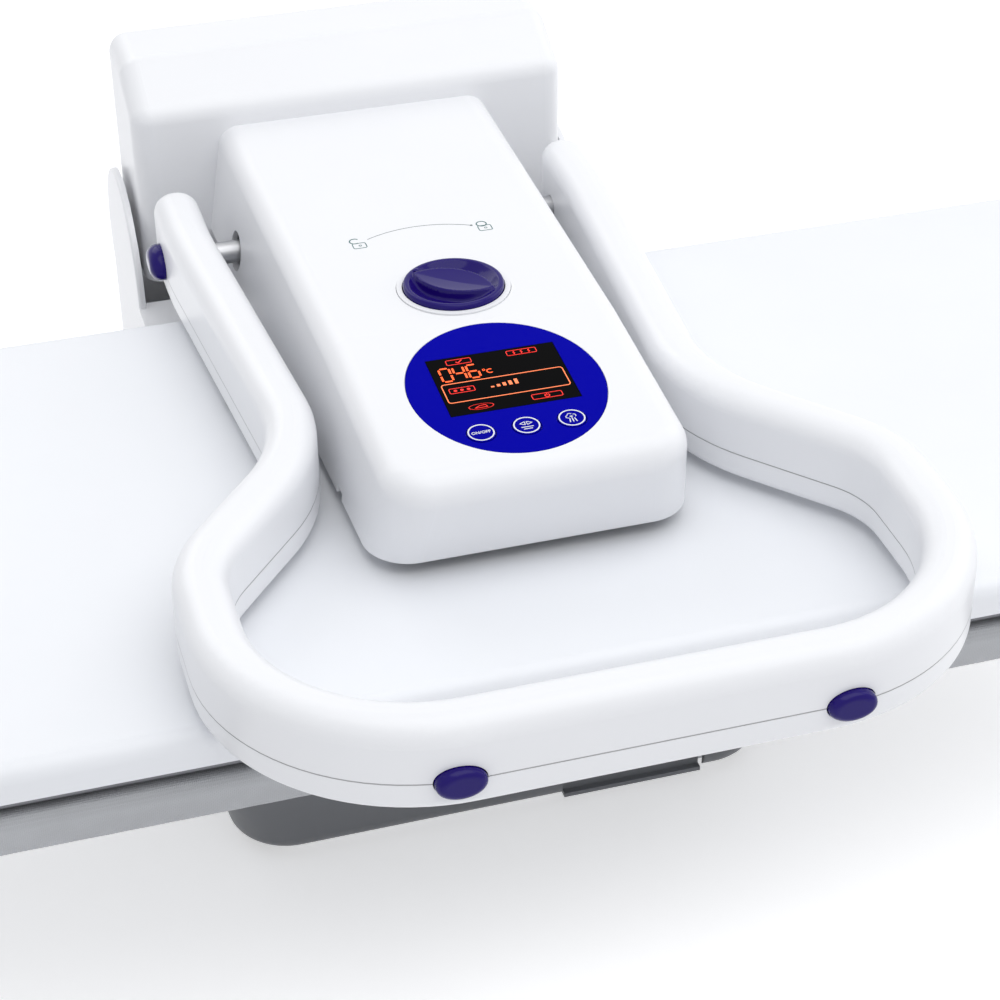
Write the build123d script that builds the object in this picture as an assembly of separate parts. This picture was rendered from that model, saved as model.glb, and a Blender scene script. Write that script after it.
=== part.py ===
from build123d import *
import math
import os

# Ironing press. A long white pressing plate hangs under an arm that opens on a hinge behind
# it and closes on a padded board on a pedestal. A loop handle is a lever on the arm.
# Millimetres, +Z up, the user stands at -Y. Places along Y are first counted from the front
# edge of the plate, and the finished solids are moved so that the origin lies under the
# middle of the whole press.

overrun = 4.0            # how far a cutting tool runs past the face that it opens
soft_gap = 0.3           # between a soft piece and what it lies on
seat_gap = 0.2           # between two mouldings that meet
running_fit = 0.05       # radial clearance of a shaft that turns in its hole
screw_hole_gap = 0.3     # radial clearance round a screw

# heights of the stack, from the surface that the press stands on
foot_height = 6.0
base_lift = 5.0
cover_bottom = 147.0
cover_height = 14.0
sole_drop = 5.0
press_gap = 2.0
board_height = 17.0

# pressing plate
plate_length = 676.0
plate_depth = 290.0
plate_corner = 30.0
cover_wall = 2.5
cover_edge = 6.0
cover_boss_radius = 5.0
cover_boss_in = 34.0
sole_side_gap = 0.6
sole_thickness = 8.0
sole_edge = 2.0
steam_hole = 2.6
steam_columns = 13
steam_rows = 4
steam_pitch_x = 44.0
steam_pitch_y = 56.0
element_radius = 3.0
element_end = 56.0
element_in = 57.0
element_bend = 26.0
element_terminal = 52.0
mat_thickness = 2.0
mat_in = 16.0
yoke_length = 210.0
yoke_width = 34.0
yoke_thickness = 3.0
lug_gap = 12.0
lug_thickness = 4.0
lug_radius = 9.0
hanger_rise = 15.0
hanger_pin_radius = 4.0
sensor_width = 14.0
sensor_height = 6.0
sensor_x = 120.0
fuse_radius = 2.2
fuse_length = 26.0
lid_length = 96.0
lid_width = 44.0
lid_height = 4.0
lid_behind_hanger = 58.0
inlet_radius = 3.0

# padded board
board_inset = 1.0
cloth_thickness = 0.8
cloth_edge = 6.0
cloth_hem = 24.0
pad_thickness = 8.0
pad_edge = 5.0
tray_sheet = 1.5
post_radius = 7.0
post_side_in = 14.0
post_front_y = 140.0
post_back_in = 40.0
post_hole_gap = 1.0

# pedestal
base_front = 105.0
base_column_gap = 4.0
base_half_bottom = 116.0
base_half_top = 142.0
base_top_gap = 4.0
base_front_lean = 8.0
base_corner = 26.0
base_wall = 2.8
base_lower_edge = 7.0
plate_sheet = 2.0
plate_side_gap = 3.5
foot_radius = 12.0
foot_side = 86.0
foot_front_in = 26.0
foot_back_in = 20.0
screw_head = 4.0
screw_head_height = 2.2
screw_shank = 2.0

# water tank and its bay, at the right of the pedestal's front
bay_left = 22.0
bay_width = 64.0
bay_height = 42.0
bay_corner = 3.0
bay_behind_tank = 12.0
bay_sheet = 1.8
tank_gap = 0.8
tank_wall = 2.0
tank_before_back = 63.0
tank_front_thickness = 4.0
tank_front_recess = 3.0
tank_lip = 2.0
plug_radius = 11.0
plug_in = 24.0
tank_spout = 5.0
tank_spout_length = 8.0

# hinge at the back
hinge_behind = 100.0
hinge_height = 140.0
hinge_shaft_radius = 8.0
bracket_half = 67.0
bracket_sheet = 3.0
bracket_head = 17.0
bracket_foot_width = 76.0
bracket_neck_front = 30.0
bracket_neck_back = 1.0
bracket_flange = 20.0
tie_radius = 5.0
tie_rise = 40.0
tie_forward = 22.0
bolt_in = 12.0
clip_thickness = 1.5
clip_radius = 11.0
clip_out = 1.0
spring_wire = 1.5
spring_clear = 0.5
spring_turns = 8
spring_pitch = 3.7
spring_start = 18.0
column_before_hinge = 68.0
column_half = 108.0
column_wall = 2.5
column_top = 136.0
column_back_top = 120.5
cheek_radius = 44.0
cheek_wall = 3.2
trough_radius = 38.5
column_edge = 3.0
sector_radius = 24.0
sector_thickness = 6.0
sector_slot_depth = 13.0
sector_lip_back = 5.0
sector_crown = 15.0
gland_radius = 7.0
gland_length = 9.0
gland_flange = 10.0
gland_flange_thickness = 3.0
gland_x = 62.0
gland_height = 30.0
gland_bore = 3.6

# pump, hoses and boards inside
pump_radius = 13.0
pump_length = 46.0
pump_x = -42.0
pump_y = 232.0
pump_saddle = 4.0
hose_radius = 3.5
hose_bend = 14.0
board_sheet = 1.6
power_board_x = -46.0
power_board_y = 142.0
power_board_width = 72.0
power_board_depth = 46.0
power_board_rise = 6.0
relay_height = 14.0
relay_width = 18.0
standoff_radius = 3.0

# arm
arm_gap = 6.0
arm_nose = 54.0
arm_undercut = 14.0
arm_nose_rise = 60.3
arm_kink_y = 156.0
arm_kink_rise = 68.0
arm_rear_rise = 70.0
arm_before_hinge = 33.0
arm_front_half_bottom = 63.0
arm_front_half_top = 57.0
arm_rear_half_bottom = 70.0
arm_rear_half_top = 62.0
arm_wall = 2.5
arm_corner_round = 17.0
arm_top_round = 10.0
lower_front = 78.0
lower_thickness = 2.0
lower_notch_y = 124.0
lower_notch_length = 7.0
lower_notch_height = 3.0
pivot_hole_radius = 9.0
frame_half = 52.0
frame_sheet = 2.5
frame_front = 84.0
frame_rise = 50.0
frame_flange_depth = 26.0
ear_radius = 15.0
bush_wall = 3.0
hood_half = 101.5
hood_wall = 2.5
hood_front_top = 80.0
hood_top = 96.0
hood_drop = 4.0
hood_back_radius = 35.0
hood_back_angle = 36.0
hood_round = 9.0
hood_top_share = 0.42

# controls on the arm
overlay_half_width = 38.0
overlay_half_depth = 43.0
overlay_y = 109.8
overlay_thickness = 1.2
overlay_gap = 0.25
screen_width = 51.5
screen_depth = 38.0
screen_forward = 4.6
screen_gap = 0.2
screen_module = 5.0
screen_border = 2.0
key_radius = 5.4
key_gap = 0.35
key_spread = 17.6
key_back = 26.9
key_proud = 0.2
key_length = 7.2
control_board_drop = 8.4
control_board_half = 34.0
control_board_depth = 78.0
switch_side = 6.0
switch_height = 0.5
knob_y = 184.0
knob_radius = 20.5
knob_height = 8.0
knob_proud = 2.6
knob_edge = 1.4
knob_rim = 2.2
scoop_depth = 3.6
scoop_round = 3.0
knob_floor = 0.5
grip_rise = 0.9
grip_half_width = 8.8
grip_end_gap = 0.7
grip_angle = 143.0
knob_collar_gap = 0.4
knob_collar_width = 2.2
knob_collar_proud = 0.5
cup_wall = 2.0
cup_floor = 2.0
knob_shaft_radius = 4.0
crank_radius = 12.0
crank_thickness = 3.8
crank_pin_radius = 2.0
crank_throw = 8.1
crank_half_turn = 36.0
crank_slot_gap = 0.35
rod_width = 5.2
rod_thickness = 5.0
rod_gap = 0.5
rod_head = 9.0
rod_head_out = 7.0
rod_drop_gap = 3.5
rod_drop_thickness = 3.0
rod_tip_height = 153.0
rod_tip_tall = 5.0
rod_tip_before_hinge = 21.2
rod_slot_gap = 0.6

# handle
handle_gap = 4.0
handle_height = 34.0
handle_rear_height = 39.5
handle_width = 20.0
handle_rear_x = 90.0
handle_elbow_x = 77.3
handle_side_x = 132.2
handle_front = -57.0
handle_end_behind_pivot = 22.0
handle_straight = 18.0
handle_flare_back = 116.5
handle_flare_front = 50.7
handle_bend_rear = 300.0
handle_bend_back = 75.0
handle_bend_front = 45.0
handle_bend_corner = 70.0
handle_round = 8.5
handle_under_round = 4.0
handle_end_round = 9.6
handle_wall = 2.2
handle_parting = 11.5
handle_pivot_before_rear = 49.0
handle_pivot_rise = 14.5
handle_boss_radius = 6.0
handle_boss_out = 3.5
handle_screw_head = 5.0
handle_screw_length = 20.0
strip_thickness = 3.0
strip_height = 15.0
strip_offset = 5.6
strip_hub_radius = 11.0
shaft_radius = 5.0
shaft_end_gap = 0.6
cap_half_length = 10.0
cap_half_height = 7.5
cap_proud = 6.5
cap_seat = 1.0
dome_round_share = 0.8
button_x = 68.0
button_half_length = 8.8
button_half_height = 6.0
button_proud = 3.4
button_gap = 0.35
button_ear = 1.8
button_ear_half = 4.5
button_skirt = 4.6
button_flange_thickness = 1.2
button_travel = 2.0
switch_gap = 0.4
handle_spring_wire = 0.9
handle_spring_turns = 7
handle_spring_pitch = 2.6
handle_spring_start = 12.0
handle_screw_y = 210.0
handle_side_screw_y = 22.0

# wiring and hose in the arm
loom_radius = 3.0
run_x = 38.0
run_front = 176.0
run_before_rear = 31.0
run_rise = 6.0
arm_screw_x = 46.0
arm_screw_front = 100.0
arm_screw_before_rear = 37.0
arm_screw_length = 8.0
lip_half = 7.0
top_boss_x = 44.0
top_boss_front = 130.0
top_boss_before_rear = 57.0
top_boss_radius = 4.5
top_boss_drill = 9.0

# derived places
hanger_y = plate_depth / 2
hinge_y = plate_depth + hinge_behind
column_front = hinge_y - column_before_hinge
base_back = column_front - base_column_gap
post_back_y = plate_depth - post_back_in
post_x = column_half - post_side_in
tank_length = base_back - base_front - tank_before_back
bay_depth = tank_length + bay_behind_tank
arm_rear = hinge_y - arm_before_hinge
hood_front = arm_rear
handle_pivot_y = arm_rear - handle_pivot_before_rear
handle_end = handle_pivot_y + handle_end_behind_pivot
handle_bend_y = handle_pivot_y - handle_straight
rod_drop_y = arm_rear + rod_drop_gap
rod_tip_end = hinge_y - rod_tip_before_hinge
run_back = arm_rear - run_before_rear
arm_screw_back = arm_rear - arm_screw_before_rear
top_boss_back = arm_rear - top_boss_before_rear
element_reach = plate_length / 2 - element_end
cover_top = cover_bottom + cover_height
hanger_height = cover_top + hanger_rise
sole_bottom = cover_bottom - sole_drop
sole_top = sole_bottom + sole_thickness
cloth_top = sole_bottom - press_gap
cloth_bottom = cloth_top - board_height
base_top = cloth_bottom - base_top_gap
plate_bottom = foot_height
plate_top = plate_bottom + plate_sheet
column_back = hinge_y + cheek_radius
arm_bottom = cover_top + arm_gap
arm_roof_front = cover_bottom + arm_nose_rise
arm_roof_kink = cover_bottom + arm_kink_rise
arm_roof_rear = cover_bottom + arm_rear_rise
frame_top = cover_bottom + frame_rise
frame_under = frame_top - frame_sheet
handle_bottom = cover_top + handle_gap
handle_top = handle_bottom + handle_height
handle_pivot_height = handle_bottom + handle_pivot_rise
handle_parting_height = handle_bottom + handle_parting
bracket_inner = bracket_half - bracket_sheet
bay_right = bay_left + bay_width
bay_top = base_lift + bay_height
roof_slope = math.degrees(
    math.atan2(arm_roof_kink - arm_roof_front, arm_kink_y - arm_nose)
)
press_front = handle_front - handle_width / 2 - button_proud
press_back = column_back + gland_length
origin_y = (press_front + press_back) / 2


def block(xs, ys, zs):
    """A box between two places on each axis."""
    size = Box(xs[1] - xs[0], ys[1] - ys[0], zs[1] - zs[0], align=(Align.MIN,) * 3)
    return Pos(xs[0], ys[0], zs[0]) * size


def both_sides(solid):
    """A piece and its mirror image at the other side."""
    return solid + mirror(solid, about=Plane.YZ)


def rod_x(x0, x1, y, z, radius):
    """A round bar along X."""
    return extrude(Plane.YZ.offset(x0) * Pos(y, z) * Circle(radius), amount=x1 - x0)


def rod_y(y0, y1, x, z, radius):
    """A round bar along Y."""
    return extrude(Plane.XZ.offset(-y0) * Pos(x, z) * Circle(radius), amount=y0 - y1)


def rod_z(z0, z1, x, y, radius):
    """A round bar along Z."""
    return extrude(Plane.XY.offset(z0) * Pos(x, y) * Circle(radius), amount=z1 - z0)


def group(pieces):
    """Several separate solids that share one node."""
    return Compound(pieces)


def side_prism(points, x0, x1):
    """A side outline, given as places along Y and Z, between two places along X."""
    outline = Plane.YZ.offset(x0) * Polygon(*points, align=None)
    return extrude(outline, amount=x1 - x0, dir=(1, 0, 0))


def plan_slab(inset, z0, z1, corner):
    """The plan of the pressing plate, drawn in by an inset, between two heights."""
    outline = RectangleRounded(plate_length - 2 * inset, plate_depth - 2 * inset, corner - inset)
    return extrude(Plane.XY.offset(z0) * Pos(0, plate_depth / 2) * outline, amount=z1 - z0)


def top_edges(solid):
    """The edges that lie highest."""
    return solid.edges().group_by(Axis.Z)[-1]


def bottom_edges(solid):
    """The edges that lie lowest."""
    return solid.edges().group_by(Axis.Z)[0]


def coil(x0, turns, pitch, mean_radius, wire, y, z):
    """A round wire wound round an axis along X."""
    path = Helix(pitch=pitch, height=pitch * turns, radius=mean_radius)
    start = path @ 0
    section = Plane(origin=start, z_dir=path % 0) * Circle(wire)
    spring = sweep(section, path=path)
    return Pos(x0, y, z) * Rot(0, 90, 0) * spring


# The pressing plate

def make_plate_cover():
    """White moulding over the heated plate, open below, with an opening for the hanger."""
    outer = plan_slab(0, cover_bottom, cover_top, plate_corner)
    outer = fillet(top_edges(outer), cover_edge)
    inner = plan_slab(cover_wall, cover_bottom - overrun, cover_top - cover_wall, plate_corner)
    inner = fillet(top_edges(inner), cover_edge - cover_wall)
    shell = outer - inner
    for x in (-1, 1):
        for y in (cover_boss_in, plate_depth - cover_boss_in):
            place = x * (plate_length / 2 - cover_boss_in)
            shell += rod_z(sole_top, cover_top - cover_wall, place, y, cover_boss_radius)
    half = lug_gap + lug_thickness + lug_gap / 2
    deep = lug_radius + lug_thickness
    shell -= block((-half, half), (hanger_y - deep, hanger_y + deep),
                   (cover_bottom, cover_top + overrun))
    return shell


def make_sole_plate():
    """Cast aluminium plate with its rows of steam holes."""
    inset = cover_wall + sole_side_gap
    sole = plan_slab(inset, sole_bottom, sole_top, plate_corner)
    sole = fillet(bottom_edges(sole), sole_edge)
    holes = GridLocations(steam_pitch_x, steam_pitch_y, steam_columns, steam_rows)
    drills = [rod_z(sole_bottom - overrun, sole_top + overrun, hole.position.X,
                    hole.position.Y + plate_depth / 2, steam_hole) for hole in holes]
    return sole - drills


def make_heating_element():
    """One long hairpin of sheathed element that lies on the plate."""
    z = sole_top + element_radius
    near = element_in
    far = plate_depth - element_in
    points = [
        (-element_terminal, near + element_bend * 2, z), (-element_terminal, near, z),
        (-element_reach, near, z), (-element_reach, far, z), (element_reach, far, z),
        (element_reach, near, z), (element_terminal, near, z),
        (element_terminal, near + element_bend * 2, z),
    ]
    path = FilletPolyline(*points, radius=element_bend)
    section = Plane(origin=path @ 0, z_dir=path % 0) * Circle(element_radius)
    return sweep(section, path=path)


def make_insulation_mat():
    """Thin mat under the cover's roof, cut out round the hanger."""
    z1 = cover_top - cover_wall - soft_gap
    mat = plan_slab(mat_in, z1 - mat_thickness, z1, plate_corner)
    half = yoke_length / 2 + soft_gap * 2
    deep = yoke_width / 2 + soft_gap * 2
    mat -= block((-half, half), (hanger_y - deep, hanger_y + deep),
                 (z1 - mat_thickness - overrun, z1 + overrun))
    for x in (-1, 1):
        for y in (cover_boss_in, plate_depth - cover_boss_in):
            place = x * (plate_length / 2 - cover_boss_in)
            mat -= rod_z(z1 - mat_thickness - overrun, z1 + overrun, place, y,
                         cover_boss_radius + soft_gap * 2)
    return mat


def make_plate_yoke():
    """Steel strip bolted to the plate, with two lugs that hang it from the arm."""
    strip = block((-yoke_length / 2, yoke_length / 2),
                  (hanger_y - yoke_width / 2, hanger_y + yoke_width / 2),
                  (sole_top, sole_top + yoke_thickness))
    for x in (lug_gap, -lug_gap - lug_thickness):
        web = block((x, x + lug_thickness), (hanger_y - lug_radius, hanger_y + lug_radius),
                    (sole_top, hanger_height))
        strip += web + rod_x(x, x + lug_thickness, hanger_y, hanger_height, lug_radius)
    pin = hanger_pin_radius + running_fit
    return strip - rod_x(-frame_half, frame_half, hanger_y, hanger_height, pin)


def make_plate_sensors():
    """Thermostat block and thermal fuse, seated on the plate."""
    y = hanger_y
    block_part = block((sensor_x, sensor_x + 2 * sensor_width), (y, y + sensor_width),
                       (sole_top, sole_top + sensor_height))
    fuse = rod_x(sensor_x, sensor_x + fuse_length, y - sensor_width, sole_top + fuse_radius,
                 fuse_radius)
    return block_part + fuse


def make_steam_lid():
    """Lid of the steam chamber, with the inlet for the water."""
    z = sole_top
    lid_y = hanger_y + lid_behind_hanger
    lid = block((-lid_length / 2, lid_length / 2), (lid_y - lid_width / 2, lid_y + lid_width / 2),
                (z, z + lid_height))
    lid = fillet(top_edges(lid), soft_gap * 3)
    inlet = rod_x(lid_length / 2, lid_length / 2 + inlet_radius * 3, lid_y, z + inlet_radius,
                  inlet_radius)
    return lid + inlet


# The padded board

def make_board_tray():
    """Folded metal tray, open below, that carries the pad."""
    inset = board_inset + cloth_thickness + soft_gap
    top = cloth_top - cloth_thickness - pad_thickness - soft_gap * 2
    bottom = cloth_bottom + cloth_thickness + soft_gap
    outer = plan_slab(inset, bottom, top, plate_corner)
    inner = plan_slab(inset + tray_sheet, bottom - overrun, top - tray_sheet, plate_corner)
    return outer - inner


def make_board_pad():
    """Foam pad with a rounded upper edge."""
    inset = board_inset + cloth_thickness + soft_gap
    top = cloth_top - cloth_thickness - soft_gap
    pad = plan_slab(inset, top - pad_thickness, top, plate_corner)
    return fillet(top_edges(pad), pad_edge)


def make_board_cloth():
    """Cloth over pad and tray, turned in under the tray as a hem."""
    outer = plan_slab(board_inset, cloth_bottom, cloth_top, plate_corner)
    outer = fillet(top_edges(outer), cloth_edge)
    inner_in = board_inset + cloth_thickness
    inner = plan_slab(inner_in, cloth_bottom + cloth_thickness, cloth_top - cloth_thickness,
                      plate_corner)
    inner = fillet(top_edges(inner), cloth_edge - cloth_thickness)
    mouth = plan_slab(board_inset + cloth_hem, cloth_bottom - overrun,
                      cloth_bottom + cloth_thickness * 2, plate_corner)
    return outer - inner - mouth


def make_board_posts():
    """Four posts between the base plate and the tray."""
    top = cloth_top - cloth_thickness - pad_thickness - soft_gap * 2 - tray_sheet
    posts = []
    for x in (-post_x, post_x):
        for y in (post_front_y, post_back_y):
            posts.append(rod_z(plate_top, top, x, y, post_radius))
    return group(posts)


# The pedestal

def pedestal_block(inset, z0, z1):
    """The pedestal's tapered block, drawn in by an inset, between two heights."""
    height = base_top - base_lift
    sections = []
    for z in (z0, z1):
        share = (z - base_lift) / height
        half = base_half_bottom + (base_half_top - base_half_bottom) * share - inset
        front = base_front - base_front_lean * share + inset
        back = base_back - inset
        outline = RectangleRounded(2 * half, back - front, base_corner - inset)
        sections.append(Plane.XY.offset(z) * Pos(0, (front + back) / 2) * outline)
    return loft(Sketch() + sections, ruled=True)


def make_base_cover():
    """Dark grey pedestal moulding, open below, with a notch for the water tank."""
    outer = pedestal_block(0, base_lift, base_top)
    outer = fillet(bottom_edges(outer), base_lower_edge)
    shell = outer - pedestal_block(base_wall, base_lift - overrun, base_top - base_wall)
    mouth = block((bay_left, bay_right), (base_front - overrun * 2, base_front + overrun * 4),
                  (base_lift - overrun * 2, bay_top))
    mouth = fillet(top_edges(mouth).filter_by(Axis.Y), bay_corner)
    shell -= mouth
    for x in (-post_x, post_x):
        for y in (post_front_y, post_back_y):
            shell -= rod_z(base_top - base_wall - overrun, base_top + overrun, x, y,
                           post_radius + post_hole_gap)
    return shell - wall_passage(base_back - base_wall, base_back)


def wall_passage(y0, y1):
    """Notch for the base plate and hole for the hose in an upright wall."""
    half = base_plate_span()[2] + seat_gap
    notch = block((-half, half), (y0 - overrun, y1 + overrun),
                  (0, plate_top + seat_gap))
    height = plate_top + pump_saddle + pump_radius
    return notch + rod_y(y0 - overrun, y1 + overrun, pump_x, height,
                         hose_radius + screw_hole_gap)


def base_plate_span():
    """Front, back and half width of the base plate."""
    front = base_front + base_wall + plate_side_gap
    back = column_back - column_wall - plate_side_gap
    return front, back, column_half - column_wall - plate_side_gap


def make_base_plate():
    """Steel floor of the base."""
    front, back, half = base_plate_span()
    plate = Plane.XY.offset(plate_bottom) * Pos(0, (front + back) / 2) * RectangleRounded(
        2 * half, back - front, base_corner / 2)
    return extrude(plate, amount=plate_sheet)


def foot_places():
    """Where the four feet stand."""
    front, back, _ = base_plate_span()
    ys = (front + foot_front_in, back - foot_back_in)
    return [(x, y) for x in (-foot_side, foot_side) for y in ys]


def make_rubber_feet():
    """Four feet, each with a pocket for its screw's head."""
    feet = []
    for x, y in foot_places():
        foot = rod_z(0, plate_bottom, x, y, foot_radius)
        foot = fillet(bottom_edges(foot), running_fit * 20)
        pocket = rod_z(-overrun, plate_bottom / 2, x, y, screw_head + screw_hole_gap)
        bore = rod_z(-overrun, plate_bottom + overrun, x, y, screw_shank + screw_hole_gap)
        feet.append(foot - pocket - bore)
    return group(feet)


def bolt_places():
    """Where the brackets are bolted to the base plate."""
    places = []
    reach = bracket_foot_width / 2 - bolt_in
    for side in (-1, 1):
        for y in (hinge_y - reach, hinge_y + reach - bolt_in):
            places.append((side * (bracket_half + bracket_flange / 2), y))
    return places


def make_base_screws():
    """Foot screws from below and bracket bolts from above."""
    screws = []
    for x, y in foot_places():
        seat = plate_bottom / 2
        head = rod_z(seat - screw_head_height, seat, x, y, screw_head)
        screws.append(head + rod_z(seat, plate_bottom, x, y, screw_shank))
    seat = plate_top + bracket_sheet
    for x, y in bolt_places():
        screws.append(rod_z(seat, seat + screw_head_height, x, y, screw_head))
    return group(screws)


# The water tank and its bay

def make_tank_bay():
    """Black sleeve over the tank, closed at the back."""
    x0 = bay_left + seat_gap
    x1 = bay_right - seat_gap
    y0 = tank_span()[1][0] + seat_gap
    y1 = y0 + bay_depth
    top = bay_top - seat_gap
    outer = block((x0, x1), (y0, y1), (plate_top, top))
    inner = block((x0 + bay_sheet, x1 - bay_sheet), (y0 - overrun, y1 - bay_sheet),
                  (plate_top - overrun, top - bay_sheet))
    return outer - inner


def tank_span():
    """Outer faces of the tank inside its bay."""
    side = seat_gap + bay_sheet + tank_gap
    front = base_front + tank_front_recess
    xs = (bay_left + side, bay_right - side)
    ys = (front + tank_front_thickness, front + tank_front_thickness + tank_length)
    zs = (plate_top + soft_gap, bay_top - side)
    return xs, ys, zs


def make_water_tank():
    """Hollow tank with a filling hole in its top and a spout at its back."""
    xs, ys, zs = tank_span()
    tank = block(xs, ys, zs)
    tank = fillet(tank.edges().filter_by(Axis.Y), bay_corner)
    tank -= block((xs[0] + tank_wall, xs[1] - tank_wall), (ys[0] + tank_wall, ys[1] - tank_wall),
                  (zs[0] + tank_wall, zs[1] - tank_wall))
    middle = (xs[0] + xs[1]) / 2
    centre = ys[0] + plug_in
    tank -= rod_z(zs[1] - tank_wall - overrun, zs[1] + overrun, middle, centre,
                  plug_radius - tank_wall)
    height = (zs[0] + zs[1]) / 2
    tank += rod_y(ys[1], ys[1] + tank_spout_length, middle, height, tank_spout)
    return tank


def make_tank_front():
    """Front plate of the tank with a thin lip along its lower edge."""
    xs, ys, zs = tank_span()
    left = bay_left + tank_gap
    right = bay_right - tank_gap * 2
    face = block((left, right), (ys[0] - tank_front_thickness, ys[0]),
                 (base_lift + tank_lip, bay_top - tank_gap))
    face -= block((left - overrun, right + overrun), (ys[0] - tank_front_thickness / 2, ys[0]),
                  (base_lift, zs[0]))
    lip_back = ys[0] - tank_front_thickness / 2
    lip = block((left, right), (base_front, lip_back), (base_lift, base_lift + tank_lip))
    return face + lip


def make_filler_plug():
    """Rubber plug that lies in the tank's filling hole."""
    xs, ys, zs = tank_span()
    middle = (xs[0] + xs[1]) / 2
    centre = ys[0] + plug_in
    hole = plug_radius - tank_wall - running_fit
    return rod_z(zs[1] - tank_wall, zs[1], middle, centre, hole)


# Pump, hose and power board in the base

def make_water_pump():
    """Small pump that stands on a saddle on the base plate."""
    z = plate_top + pump_saddle + pump_radius
    half = pump_length / 2
    body = rod_y(pump_y - half, pump_y + half, pump_x, z, pump_radius)
    saddle = block((pump_x - pump_radius, pump_x + pump_radius), (pump_y - half, pump_y + half),
                   (plate_top, z - pump_radius / 2))
    ends = rod_y(pump_y - half - tank_spout_length, pump_y + half + tank_spout_length, pump_x, z,
                 hose_radius)
    return body + saddle + ends


def tube(points, radius, bend):
    """A round hose along straight runs joined by arcs."""
    path = FilletPolyline(*points, radius=bend)
    section = Plane(origin=path @ 0, z_dir=path % 0) * Circle(radius)
    return sweep(section, path=path)


def make_base_hose():
    """Hose from the tank's spout to the pump and from there to the hinge."""
    xs, ys, zs = tank_span()
    middle = (xs[0] + xs[1]) / 2
    height = (zs[0] + zs[1]) / 2
    z = plate_top + pump_saddle + pump_radius
    half = pump_length / 2
    start = ys[0] + seat_gap + bay_depth
    front_end = pump_y - half - tank_spout_length
    back_end = pump_y + half + tank_spout_length
    feed = tube([(middle, start, height), (middle, start + hose_bend * 2, height),
                 (0, start + hose_bend * 2, height), (0, front_end - hose_bend * 2, z),
                 (pump_x, front_end - hose_bend * 2, z), (pump_x, front_end, z)],
                hose_radius, hose_bend)
    rise = hinge_height - trough_radius - column_wall
    upright = hinge_y - tie_forward - tie_radius * 2 - hose_radius
    lift = tube([(pump_x, back_end, z), (pump_x, upright, z), (pump_x, upright, rise)],
                hose_radius, hose_bend)
    return group([feed, lift])


def make_power_board():
    """Circuit board on four stand-offs with two relays."""
    z = plate_top + power_board_rise
    x0 = power_board_x - power_board_width / 2
    x1 = power_board_x + power_board_width / 2
    y0 = power_board_y - power_board_depth / 2
    y1 = power_board_y + power_board_depth / 2
    board = block((x0, x1), (y0, y1), (z, z + board_sheet))
    for x in (x0 + standoff_radius * 2, x1 - standoff_radius * 2):
        for y in (y0 + standoff_radius * 2, y1 - standoff_radius * 2):
            board += rod_z(plate_top, z, x, y, standoff_radius)
    for shift in (-1, 1):
        x = power_board_x + shift * relay_width
        board += block((x - relay_width / 2, x + relay_width / 2),
                       (power_board_y, power_board_y + relay_width),
                       (z + board_sheet, z + board_sheet + relay_height))
    return board


# The hinge column

def trough(radius, back_top, top):
    """The space in the column in which the hinge hood turns."""
    half = column_half - cheek_wall
    space = rod_x(-half, half, hinge_y, hinge_height, radius)
    reach = column_back + overrun
    space += block((-half, half), (hinge_y, reach), (back_top, hinge_height + cheek_radius * 2))
    space += block((-half, half), (column_front - overrun, hinge_y),
                   (top, hinge_height + cheek_radius * 2))
    return space


def make_column_cover():
    """Moulding round the hinge brackets, with a round cheek at each side."""
    body = block((-column_half, column_half), (column_front, column_back),
                 (base_lift, column_top))
    body = fillet(body.edges().filter_by(Axis.Z), column_edge * 2)
    cheeks = rod_x(-column_half, column_half, hinge_y, hinge_height, cheek_radius)
    cheeks = fillet(cheeks.edges(), column_edge / 2)
    outer = body + cheeks
    outer -= trough(trough_radius, column_back_top, column_top)
    half = column_half - column_wall
    hollow = block((-half, half), (column_front + column_wall, column_back - column_wall),
                   (base_lift - overrun, column_top - column_wall))
    wall = column_wall
    hollow -= trough(trough_radius + wall, column_back_top - wall, column_top - wall)
    cheek_line = column_half - cheek_wall
    hollow -= block((cheek_line - wall, column_half), (column_front, column_back),
                    (column_back_top - wall, column_top))
    hollow -= block((-column_half, wall - cheek_line), (column_front, column_back),
                    (column_back_top - wall, column_top))
    outer -= hollow
    slot = bracket_sheet + 2 * screw_hole_gap
    for x in (bracket_inner - screw_hole_gap, -bracket_half - screw_hole_gap):
        outer -= block((x, x + slot), (hinge_y - trough_radius, hinge_y + overrun),
                       (base_lift + base_wall * 2, hinge_height))
    outer -= rod_y(column_back - column_wall - overrun, column_back + overrun, gland_x,
                   gland_height, gland_radius)
    return outer - wall_passage(column_front, column_front + column_wall)


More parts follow.
